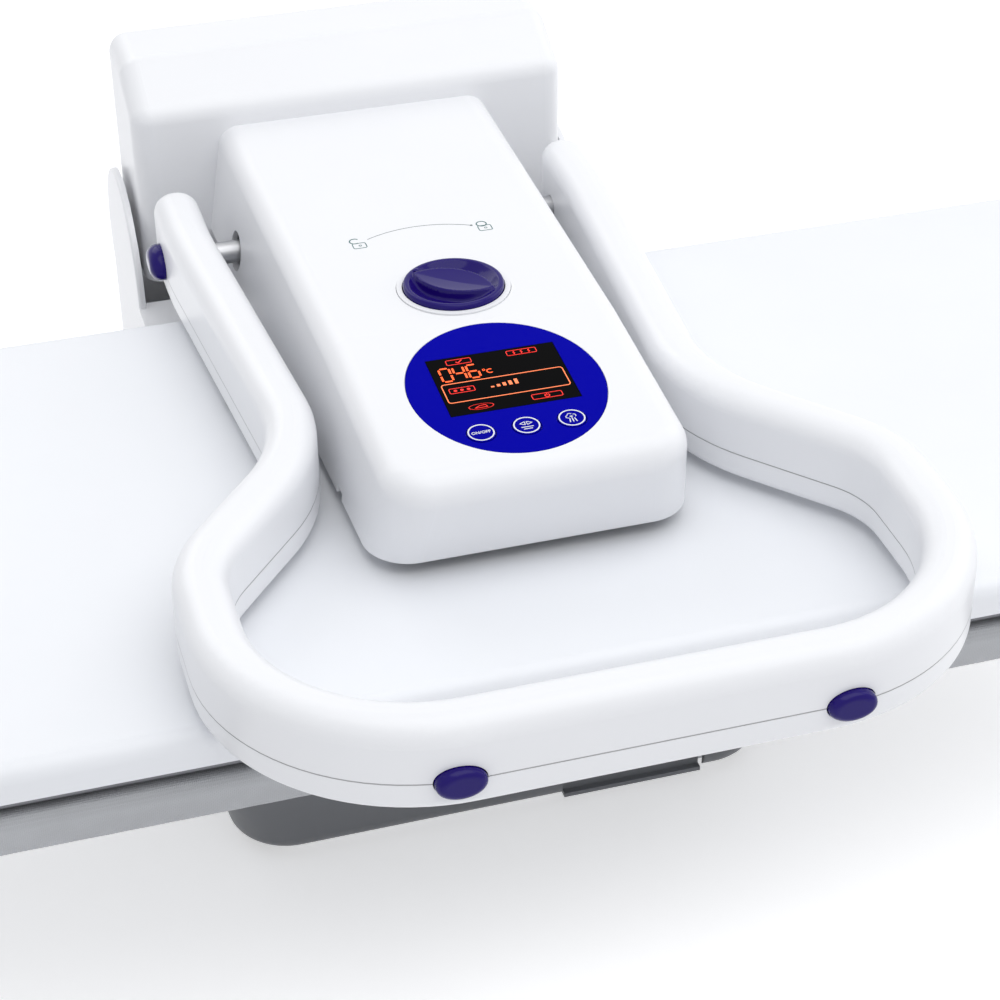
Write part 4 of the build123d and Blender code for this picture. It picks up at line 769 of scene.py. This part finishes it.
@dataclass
class PaddedBoard:
    """The silver cloth, its foam pad, and the hem that holds both round the steel tray."""

    corner: float = 0.029
    edge: float = 0.006
    lower_edge: float = 0.0022
    hem: float = 0.024
    cloth: float = 0.0008
    cell: float = 0.0055
    gather: float = 0.00045
    inset: float = 0.0002
    rings: tuple[int, ...] = (5, 3, 4, 4)

    def __post_init__(self) -> None:
        """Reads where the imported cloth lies."""
        low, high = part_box("board_cloth")
        self.middle = (low + high) / 2
        self.top = high.z
        self.height = high.z - low.z
        self.core = ((high.x - low.x) / 2 - self.edge, (high.y - low.y) / 2 - self.edge)
        self.core_corner = self.corner - self.edge
        self.reach = (self.core[0] - self.core_corner, self.core[1] - self.core_corner)

    def lengths(self) -> tuple[float, float, float, float]:
        """Lengths of the upper bend, the side, the lower bend and the hem, along the cloth."""
        side = self.height - self.edge - self.lower_edge
        quarter = math.pi / 2
        return (self.edge * quarter, side, self.lower_edge * quarter, self.hem - self.lower_edge)

    def wrap(self, run: float) -> Pair:
        """Where a point of the cloth lies once it is wrapped over the board's edge.

        Args:
            run: Distance along the cloth from the edge of the flat top.

        Returns:
            The distance outwards from that edge, and the drop below the top.
        """
        bend, side, fold, _ = self.lengths()
        if run <= bend:
            turn = run / self.edge
            return self.edge * math.sin(turn), self.edge * (1 - math.cos(turn))
        if run <= bend + side:
            return self.edge, self.edge + run - bend
        if run <= bend + side + fold:
            turn = (run - bend - side) / self.lower_edge
            out = self.edge - self.lower_edge * (1 - math.cos(turn))
            return out, self.height - self.lower_edge * (1 - math.sin(turn))
        return self.edge - self.lower_edge - (run - bend - side - fold), self.height

    def nearest(self, x: float, y: float) -> Pair:
        """The nearest point of the rectangle that joins the centres of the corners."""
        return (max(-self.reach[0], min(self.reach[0], x)),
                max(-self.reach[1], min(self.reach[1], y)))

    def ripple(self, x: float, y: float, angle: float) -> float:
        """The gathers that the drawn hem makes, before they are scaled.

        Args:
            x: Place along the board.
            y: Place across it.
            angle: Direction of the edge there, in radians.

        Returns:
            A value of about -1 to 1.
        """
        if abs(x) > self.reach[0] and abs(y) > self.reach[1]:
            return math.sin(angle * 34.0)
        along = x if abs(math.cos(angle)) < 0.5 else y
        return 0.55 * math.sin(along * 392.0 + 1.3 * math.sin(along * 47.0))

    def flat_cut(self) -> Mesh:
        """The cloth's flat cut: a fine grid with rounded corners and rings along its edge.

        Returns:
            The bmesh, flat on z 0.
        """
        bm = bmesh.new()
        bmesh.ops.create_grid(bm, x_segments=1, y_segments=1, size=1.0)
        bmesh.ops.scale(bm, vec=(*self.core, 1), verts=bm.verts)
        for axis, reach in enumerate(self.reach):
            count = round(2 * reach / self.cell)
            places = (-reach + 2 * reach * step / count for step in range(count + 1))
            slice_sheet(bm, axis, places, 1e-6)
        corners = [v for v in bm.verts if len(v.link_edges) == 2]
        round_off(bm, corners, self.core_corner, 14, "VERTICES")
        ring = [e for e in bm.edges if e.is_boundary]
        start = 0.0
        for length, count in zip(self.lengths(), self.rings):
            for step in range(1, count + 1):
                verts, ring = grow(bm, ring)
                for vert in verts:
                    near = Vector((*self.nearest(vert.co.x, vert.co.y), 0.0))
                    out = self.core_corner + (start + length * step / count)
                    vert.co = near + (vert.co - near).normalized() * out
            start += length
        return bm

    def lay(self, vert: Vert) -> None:
        """Moves a vertex of the flat cut to its place on the board.

        Args:
            vert: The vertex.
        """
        bend, side, fold, _ = self.lengths()
        x, y = vert.co.x, vert.co.y
        near = self.nearest(x, y)
        off = Vector((x - near[0], y - near[1]))
        run = off.length - self.core_corner
        if run <= 0:
            swell = 0.00018 * math.sin(x * 61.0 + 2 * math.sin(y * 37.0)) * math.sin(y * 53.0)
            vert.co.z = self.top - self.inset + swell
            return
        way = off.normalized()
        out, drop = self.wrap(run)
        pull = max(0.0, min(1.0, (run - bend) / (side + fold)))
        wave = self.gather * pull * self.ripple(x, y, math.atan2(way.y, way.x))
        under = max(0.0, min(1.0, (run - bend - side) / fold))
        reach = self.core_corner + out - 0.0003 * pull + wave * (1 - under)
        vert.co = (near[0] + way.x * reach, near[1] + way.y * reach,
                   self.top - self.inset * (1 - pull) - drop + wave * under * 1.3)

    def make_cloth(self) -> None:
        bm = self.flat_cut()
        area = sum(face.calc_area() for face in bm.faces)
        for vert in bm.verts:
            self.lay(vert)
        bmesh.ops.translate(bm, vec=(self.middle.x, self.middle.y, 0), verts=bm.verts)
        piece = Piece("pressing_cloth", "base", "silver_cloth", SILVER_CLOTH, ("board_cloth",),
                      bm=bm)
        cloth = piece.make()
        thicken(cloth, self.cloth * 0.8, -1.0)

    def make_pad(self) -> None:
        """The foam pad under the cloth."""
        low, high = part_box("board_pad")
        piece = Piece("board_padding", "base", "foam_pad", FOAM, ("board_pad",))
        bm = piece.bm
        made = bmesh.ops.create_cube(bm, size=1.0)["verts"]
        place = Matrix.Translation((low + high) / 2) @ Matrix.Diagonal((*(high - low), 1.0))
        bmesh.ops.transform(bm, matrix=place, verts=made)
        upright = [e for e in bm.edges if abs(e.verts[0].co.z - e.verts[1].co.z) > 1e-5]
        round_off(bm, upright, self.corner - 0.002, 10)
        rim = [e for e in bm.edges if all(v.co.z > high.z - 1e-5 for v in e.verts)]
        round_off(bm, rim, 0.0048, 5)
        flats = [f for f in bm.faces if len(f.verts) > 20]
        bmesh.ops.inset_region(bm, faces=flats, thickness=0.02)
        piece.make()

    def build(self) -> None:
        """Builds the soft pieces of the board."""
        self.make_cloth()
        self.make_pad()


@dataclass
class PlateInsulation:
    """The felt mat under the plate cover's roof."""

    cell: float = 0.012
    clear: float = 0.0008
    boss: Pair = (0.304, 0.111)
    boss_half: float = 0.0062

    def build(self) -> None:
        """Cuts the mat out round the yoke and the bosses, and gives it its thickness."""
        low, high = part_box("insulation_mat")
        yoke_low, yoke_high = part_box("plate_yoke")
        piece = Piece("insulation_felt", "plate", "mat_fibre", FELT, ("insulation_mat",))
        bm = piece.bm
        middle, half = (low + high) / 2, (high - low) / 2
        hole = (yoke_high - yoke_low) / 2 + Vector((self.clear, self.clear, 0))
        bmesh.ops.create_grid(bm, x_segments=1, y_segments=1, size=1.0)
        bmesh.ops.scale(bm, vec=(half.x, half.y, 1), verts=bm.verts)
        for axis, boss in enumerate(self.boss):
            reach = half[axis]
            count = round(2 * reach / self.cell)
            places = [-reach + 2 * reach * k / count for k in range(1, count)]
            marks = (hole[axis], boss - self.boss_half, boss + self.boss_half)
            places += [side * mark for mark in marks for side in (-1, 1)]
            slice_sheet(bm, axis, places, 1e-5)
        gone = [f for f in bm.faces if self.is_open(f.calc_center_median(), hole)]
        bmesh.ops.delete(bm, geom=gone, context="FACES")
        area = sum(face.calc_area() for face in bm.faces)
        for vert in bm.verts:
            vert.co.z = 0.00015 * math.sin(vert.co.x * 180.0) * math.sin(vert.co.y * 150.0)
        bmesh.ops.translate(bm, vec=middle, verts=bm.verts)
        felt = piece.make()
        thicken(felt, (high.z - low.z) * 0.8, 0.0)

    def is_open(self, spot: Vector, hole: Vector) -> bool:
        """Whether a place lies in the yoke's hole or at a boss."""
        at_boss = all(abs(abs(spot[axis]) - self.boss[axis]) < self.boss_half for axis in (0, 1))
        return at_boss or (abs(spot.x) < hole.x and abs(spot.y) < hole.y)


@dataclass
class LockKnob:
    """The violet lock knob: a flush rim with finger scoops on both sides of an eye-shaped bar."""

    eye_half_width: float = 0.0088
    eye_reach: float = 0.0176
    eye_rise: float = 0.0009
    eye_sink: float = 0.0011
    axis: float = 143.0
    scoop: float = 0.0036
    scoop_wall: float = 0.0016
    scoop_slope: float = 0.0075
    rim: float = 0.0022
    edge: float = 0.0012
    pointer: Pair = (-0.0122, 0.0134)
    rings: int = 52
    spokes: int = 144

    def height(self, x: float, y: float, radius: float) -> float:
        """The knob's face, measured down from the level of its rim.

        Args:
            x: Place from the knob's centre along the bar.
            y: Place across the bar.
            radius: The knob's radius.

        Returns:
            The height, 0 at the rim and below 0 in the scoops.
        """
        away = math.hypot(x, y)
        arc = (self.eye_reach ** 2 + self.eye_half_width ** 2) / (2 * self.eye_half_width)
        outside = math.hypot(x, abs(y) + arc - self.eye_half_width) - arc
        if outside <= 0:
            sink = min(1.0, -outside / self.eye_half_width)
            return self.eye_rise - self.eye_sink * sink ** 0.8
        inner = radius - self.rim - away
        if inner <= 0:
            left = max(0.0, self.edge - (radius - away))
            return math.sqrt(max(0.0, self.edge ** 2 - left ** 2)) - self.edge
        wall = min(1.0, outside / self.scoop_wall)
        slope = min(1.0, inner / self.scoop_slope)
        depth = self.scoop * math.sin(wall * math.pi / 2) * math.sin(slope * math.pi / 2)
        return self.eye_rise * (1 - wall) * slope - depth

    def build(self) -> None:
        """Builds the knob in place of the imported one, with its raised pointer spot."""
        low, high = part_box("lock_knob")
        centre = (low + high) / 2
        radius = (high.x - low.x) / 2
        level = high.z - self.eye_rise
        piece = Piece("violet_knob", "knob", "violet_moulding", VIOLET, ("lock_knob",))
        bm = piece.bm
        bmesh.ops.create_circle(bm, cap_ends=False, segments=self.spokes, radius=radius)
        ring = bm.edges[:]
        verts, under = grow(bm, ring)
        for vert in verts:
            vert.co.z = low.z - level
        bmesh.ops.contextual_create(bm, geom=under)
        for step in range(1, self.rings):
            verts, ring = grow(bm, ring)
            for vert in verts:
                flat = Vector((vert.co.x, vert.co.y, 0)).normalized()
                vert.co = flat * radius * (1 - step / self.rings)
        bmesh.ops.contextual_create(bm, geom=ring)
        turn = Matrix.Rotation(-math.radians(self.axis), 2)
        for vert in bm.verts:
            if vert.co.z > -1e-6:
                along = turn @ vert.co.xy
                vert.co.z = self.height(along.x, along.y, radius)
        bmesh.ops.translate(bm, vec=(centre.x, centre.y, level), verts=bm.verts)
        piece.make()
        spot = Piece("knob_pointer", "knob", "violet_moulding", VIOLET)
        place = Matrix.Translation((centre.x + self.pointer[0], centre.y + self.pointer[1], level))
        bmesh.ops.create_uvsphere(spot.bm, u_segments=24, v_segments=12, radius=0.0013,
                                  matrix=place @ Matrix.Diagonal((1, 1, 0.5, 1)))
        spot.make()


@dataclass
class DisplayPanel:
    """Lit marks on the display and the white print on the keys of the blue overlay."""

    slope: float = 4.317
    screen: Pair = (0.0515, 0.038)
    digit: Pair = (0.0040, 0.0086)
    digit_gap: float = 0.0014
    stroke: float = 0.0008
    lift: float = 0.00002

    SEGMENTS = {"0": "abcdef", "4": "bcfg", "6": "acdefg"}
    BOXES = {"tick": (0.244, 0.10, 0.0098), "steam": (0.734, 0.095, 0.0118),
             "mode": (0.171, 0.585, 0.0098), "power": (0.755, 0.895, 0.0118)}

    def at(self, u: float, v: float) -> Pair:
        """A place on the screen from its shares across and down."""
        return (u - 0.5) * self.screen[0], (0.5 - v) * self.screen[1]

    def lay(self, piece: Piece, node: str) -> None:
        """Turns flat marks onto the sloping face of a node, at its middle, and makes them.

        Args:
            piece: The marks, drawn with x to the right and y up the slope.
            node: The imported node.
        """
        low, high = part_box(node)
        middle = drop_onto(skin_of(node), (low.x + high.x) / 2, (low.y + high.y) / 2)
        turn = Matrix.Rotation(math.radians(self.slope), 4, "X")
        place = Matrix.Translation(middle) @ turn @ Matrix.Translation((0, 0, self.lift))
        bmesh.ops.transform(piece.bm, matrix=place, verts=piece.bm.verts)
        piece.smooth = False
        piece.make(1e-8)

    def digits(self) -> None:
        """The reading, in seven-segment figures, and the sign for degrees Celsius."""
        piece = Piece("display_figures", "arm", "screen_black", LIT_ORANGE)
        pen = Ink(piece.bm, self.stroke)
        left, middle = self.at(0.068, 0.30)
        w, h = self.digit
        gap, half = self.stroke * 0.7, h / 2
        for index, figure in enumerate("046"):
            x = left + index * (w + self.digit_gap)
            low, high = middle - half, middle + half
            places = {
                "a": ((x + gap, high), (x + w - gap, high)),
                "g": ((x + gap, middle), (x + w - gap, middle)),
                "d": ((x + gap, low), (x + w - gap, low)),
                "f": ((x, middle + gap), (x, high - gap)),
                "b": ((x + w, middle + gap), (x + w, high - gap)),
                "e": ((x, low + gap), (x, middle - gap)),
                "c": ((x + w, low + gap), (x + w, middle - gap)),
            }
            for name in self.SEGMENTS[figure]:
                pen.bar(*places[name])
        x, y = self.at(0.395, 0.315)
        pen.arc((x, y + 0.0003), 0.0005, width=0.00025, steps=14)
        pen.arc((x + 0.0022, y - 0.0009), 0.0012, 50, 310, width=0.00045, steps=20)
        self.lay(piece, "display_screen")

    def lit_frame(self) -> None:
        """The lit box and the row of bars in it."""
        piece = Piece("display_frame", "arm", "screen_black", LIT_FRAME)
        pen = Ink(piece.bm, 0.0004)
        pen.frame(self.at(0.5, 0.62), (self.screen[0] * 0.93, self.screen[1] * 0.32), 0.0012)
        x, y = self.at(0.40, 0.60)
        for step in range(5):
            left = x + step * 0.0024
            pen.bar((left, y - 0.0009), (left, y - 0.0009 + 0.0008 + step * 0.0006), 0.0013)
        self.lay(piece, "display_screen")

    def lit_marks(self) -> None:
        """Small red pictograms in boxes, for ready, steam, mode and power, and an iron."""
        piece = Piece("display_marks", "arm", "screen_black", LIT_RED)
        pen = Ink(piece.bm, 0.00032)
        for name, (u, v, wide) in self.BOXES.items():
            x, y = self.at(u, v)
            pen.frame((x, y), (wide, 0.0031), 0.0006)
            if name == "tick":
                pen.run(((x - 0.0012, y), (x - 0.0003, y - 0.0008), (x + 0.0014, y + 0.001)),
                        0.0005)
            elif name == "steam":
                for shift in (-0.003, 0.0, 0.003):
                    left, right = x + shift - 0.0003, x + shift + 0.0003
                    pen.run(((left, y - 0.001), (right, y - 0.0003), (left, y + 0.0003),
                             (right, y + 0.001)), 0.0004)
            elif name == "mode":
                for shift in (-0.0026, 0.0, 0.0026):
                    pen.dot((x + shift, y), 0.0007, 12)
            else:
                pen.arc((x, y - 0.0001), 0.0009, 120, 420, width=0.0004, steps=20)
                pen.bar((x, y), (x, y + 0.0012), 0.0004)
        x, y = self.at(0.25, 0.905)
        pen.arc((x, y), 0.0048, squeeze=0.36, steps=40)
        pen.run(((x - 0.0026, y - 0.0007), (x + 0.0024, y - 0.0007), (x + 0.0018, y + 0.0007),
                 (x - 0.0004, y + 0.0006), (x - 0.0026, y - 0.0007)), 0.0003)
        self.lay(piece, "display_screen")

    def key_prints(self) -> None:
        """The ring and the sign on each touch key."""
        signs: dict[str, tuple[str, Callable[[Ink], None]]] = {
            "power_key": ("power_button", self.sign_power),
            "mode_key": ("mode_button", self.sign_mode),
            "steam_key": ("steam_button", self.sign_steam),
        }
        for node, (body, sign) in signs.items():
            piece = Piece(node + "_print", body, "overlay_blue", WHITE_INK)
            pen = Ink(piece.bm, 0.00055)
            pen.arc((0, 0), 0.00478, steps=64)
            sign(pen)
            self.lay(piece, node)

    def sign_power(self, pen: Ink) -> None:
        """ON and OFF, in plain letters."""
        mesh = lettering("ON/OFF", 0.00155)
        before = set(pen.bm.verts)
        pen.bm.from_mesh(mesh)
        made = [v for v in pen.bm.verts if v not in before]
        bmesh.ops.scale(pen.bm, vec=(0.92, 1.0, 1.0), verts=made)
        bpy.data.meshes.remove(mesh)

    def sign_mode(self, pen: Ink) -> None:
        """Two arrow heads and two lines for a list."""
        for side in (-1, 1):
            tip, back = side * 0.0024, side * 0.0004
            pen.run(((back, 0.0022), (tip, 0.0012), (back, 0.0002), (back, 0.0022)), 0.0003)
        pen.bar((-0.0024, -0.0011), (0.0024, -0.0011), 0.0004)
        pen.bar((-0.0017, -0.0023), (0.0017, -0.0023), 0.0004)

    def sign_steam(self, pen: Ink) -> None:
        """A small cloud with a jet under it."""
        for x, y, radius, start, end in ((-0.0013, 0.0008, 0.0008, 90, 290),
                                         (-0.0004, 0.0018, 0.0009, 30, 170),
                                         (0.0011, 0.0012, 0.0008, -60, 110)):
            pen.arc((x, y), radius, start, end, steps=16, width=0.0003)
        for x in (-0.0009, 0.0, 0.0009):
            pen.bar((x, -0.0003), (x * 1.5, -0.0026), 0.0004)
        pen.run(((-0.0006, 0.0006), (0.0, 0.0012), (0.0006, 0.0006)), 0.0003)
        pen.bar((0, 0.0011), (0, -0.0002), 0.0003)

    def build(self) -> None:
        """Builds every lit mark and print."""
        self.digits()
        self.lit_frame()
        self.lit_marks()
        self.key_prints()


@dataclass
class ArmMarks:
    """Print that follows the arm cover's skin."""

    line: float = 0.00035
    lock_y: float = 0.0447
    open_x: float = -0.028
    closed_x: float = 0.0262
    travel: tuple[Pair, ...] = ((-0.0236, 0.0468), (0.0, 0.0520), (0.0212, 0.0462))
    lift: float = 0.00001

    def lay(self, piece: Piece) -> None:
        """Lowers flat marks onto the skin, each vertex by the skin's height under it.

        Args:
            piece: The marks.
        """
        skin = skin_of("arm_top_cover")
        for vert in piece.bm.verts:
            hit = drop_onto(skin, vert.co.x, vert.co.y)
            if hit is not None:
                vert.co.z += hit.z + self.lift
        piece.make(1e-8)

    def padlock(self, pen: Ink, x: float, y: float, shut: bool) -> None:
        """A small padlock's outline.

        Args:
            pen: The pen.
            x: The lock's place along x.
            y: The lock's place along y.
            shut: Whether its shackle is closed.
        """
        pen.frame((x, y - 0.0022), (0.0056, 0.0044), 0.0008)
        pen.arc((x + 0.0003, y - 0.0022), 0.00055, steps=14, width=0.00025)
        if shut:
            pen.arc((x - 0.0006, y + 0.0016), 0.0021, steps=32, width=0.0005)
        else:
            pen.arc((x - 0.0012, y + 0.0020), 0.0021, 40, 300, steps=28, width=0.0005)

    def build(self) -> None:
        """Builds the padlocks, and the arc with a spot that shows the way the knob turns."""
        piece = Piece("lock_marks", "arm", "white_moulding", TEAL_INK, smooth=False)
        pen = Ink(piece.bm, self.line)
        self.padlock(pen, self.open_x, self.lock_y, False)
        self.padlock(pen, self.closed_x, self.lock_y, True)
        self.lay(piece)
        piece = Piece("travel_line", "arm", "white_moulding", GREY_INK, smooth=False)
        pen = Ink(piece.bm, 0.00026)
        left, top, right = (Vector(point) for point in self.travel)
        centre, radius = circle_through(left, top, right)
        start = math.degrees(math.atan2(right.y - centre.y, right.x - centre.x))
        end = math.degrees(math.atan2(left.y - centre.y, left.x - centre.x))
        pen.arc((centre.x, centre.y), radius, start, end, steps=48)
        pen.dot((right.x, right.y), 0.0006, 12)
        self.lay(piece)


def circle_through(a: Vector, b: Vector, c: Vector) -> tuple[Vector, float]:
    """The centre and the radius of the circle through three points."""
    d = 2 * (a.x * (b.y - c.y) + b.x * (c.y - a.y) + c.x * (a.y - b.y))
    aa, bb, cc = a.length_squared, b.length_squared, c.length_squared
    x = (aa * (b.y - c.y) + bb * (c.y - a.y) + cc * (a.y - b.y)) / d
    y = (aa * (c.x - b.x) + bb * (a.x - c.x) + cc * (b.x - a.x)) / d
    centre = Vector((x, y))
    return centre, (a - centre).length


@dataclass
class Studio:
    """The floor, the soft lights, the white surroundings and the camera."""

    place: Place = (-0.220, -0.829, 0.6833)
    elevation: float = 33.71
    yaw: float = 16.09
    roll: float = -0.65
    lens: float = 86.8
    shift: float = -0.002
    floor_size: float = 14.0
    floor_glow: float = 0.45
    fill: float = 0.62

    LAMPS = (("key", (0.3, -0.6, 2.1), 2.2, 22.0), ("fill", (1.6, 0.3, 1.1), 1.4, 6.0),
             ("rim", (-0.6, 1.6, 1.5), 1.2, 6.0))

    def camera(self) -> None:
        """Stands the camera where the photograph was taken from."""
        up, side = math.radians(self.elevation), math.radians(self.yaw)
        forward = Vector((math.sin(side) * math.cos(up), math.cos(side) * math.cos(up),
                          -math.sin(up)))
        right = Vector((math.cos(side), -math.sin(side), 0.0))
        top = right.cross(forward)
        turn = math.radians(self.roll)
        across = right * math.cos(turn) + top * math.sin(turn)
        above = top * math.cos(turn) - right * math.sin(turn)
        data = bpy.data.cameras.new("camera")
        data.lens = self.lens
        data.sensor_width = 36.0
        data.shift_y = self.shift
        data.clip_start = 0.02
        camera = stand("camera", data)
        rows = Matrix((across, above, -forward)).transposed().to_4x4()
        camera.matrix_world = Matrix.Translation(self.place) @ rows
        bpy.context.scene.camera = camera

    def surround(self) -> None:
        """A world that is white to the camera and in reflections, and a soft fill otherwise."""
        world = bpy.data.worlds.new("surround")
        world.use_nodes = True
        tree = world.node_tree
        tree.nodes.clear()
        mix = tree.nodes.new("ShaderNodeMixShader")
        tree.links.new(self.seen_rays(tree), mix.inputs["Fac"])
        lights = (((0.97, 0.98, 1.0, 1.0), self.fill), ((1.0, 1.0, 1.0, 1.0), 1.0))
        for index, (colour, strength) in enumerate(lights, 1):
            light = tree.nodes.new("ShaderNodeBackground")
            light.inputs["Color"].default_value = colour
            light.inputs["Strength"].default_value = strength
            tree.links.new(light.outputs[0], mix.inputs[index])
        end = tree.nodes.new("ShaderNodeOutputWorld")
        tree.links.new(mix.outputs[0], end.inputs["Surface"])
        bpy.context.scene.world = world

    def seen_rays(self, tree: bpy.types.NodeTree) -> Socket:
        """A factor of 1 for camera, glossy and transmission rays.

        Args:
            tree: The node tree.

        Returns:
            The factor socket.
        """
        path = tree.nodes.new("ShaderNodeLightPath")
        total = path.outputs["Is Camera Ray"]
        for name in ("Is Glossy Ray", "Is Transmission Ray"):
            both = tree.nodes.new("ShaderNodeMath")
            both.operation = "MAXIMUM"
            tree.links.new(total, both.inputs[0])
            tree.links.new(path.outputs[name], both.inputs[1])
            total = both.outputs[0]
        return total

    def floor(self) -> None:
        """A pale floor that keeps the press's shadow."""
        bm = bmesh.new()
        bmesh.ops.create_grid(bm, x_segments=2, y_segments=2, size=self.floor_size / 2)
        graph = Graph("floor_paper")
        graph.set("Base Color", graph.mix(graph.noise(3.0), linear("f6f6f7"), linear("f8f8f9")))
        graph.set("Roughness", 0.9)
        graph.set("Emission Color", (1.0, 1.0, 1.0, 1.0))
        glow = graph.math("MULTIPLY", self.seen_rays(graph.tree), self.floor_glow)
        graph.set("Emission Strength", glow)
        stand("floor", mesh_of("floor", bm, graph.material))

    def lamp(self, name: str, place: Place, size: float, power: float) -> None:
        """A square soft lamp that faces the press.

        Args:
            name: Its name.
            place: Where it hangs.
            size: Length of its side.
            power: Watts.
        """
        data = bpy.data.lights.new(name, "AREA")
        data.shape = "SQUARE"
        data.size = size
        data.energy = power
        aim = Vector((0.0, 0.0, 0.12)) - Vector(place)
        turn = aim.to_track_quat("-Z", "Y").to_matrix().to_4x4()
        stand(name, data).matrix_world = Matrix.Translation(place) @ turn

    def build(self) -> None:
        """Sets up the whole studio."""
        self.camera()
        self.surround()
        self.floor()
        for lamp in self.LAMPS:
            self.lamp(*lamp)
        bpy.context.scene.view_settings.view_transform = "Standard"


def main() -> None:
    """Builds the studio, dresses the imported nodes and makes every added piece."""
    logging.basicConfig(level=logging.INFO, format="%(name)s: %(message)s")
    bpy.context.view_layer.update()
    Studio().build()
    dress_nodes()
    for maker in (PaddedBoard, PlateInsulation, LockKnob, DisplayPanel, ArmMarks):
        maker().build()
    LOG.info("sizes written")


if __name__ == "__main__":
    main()
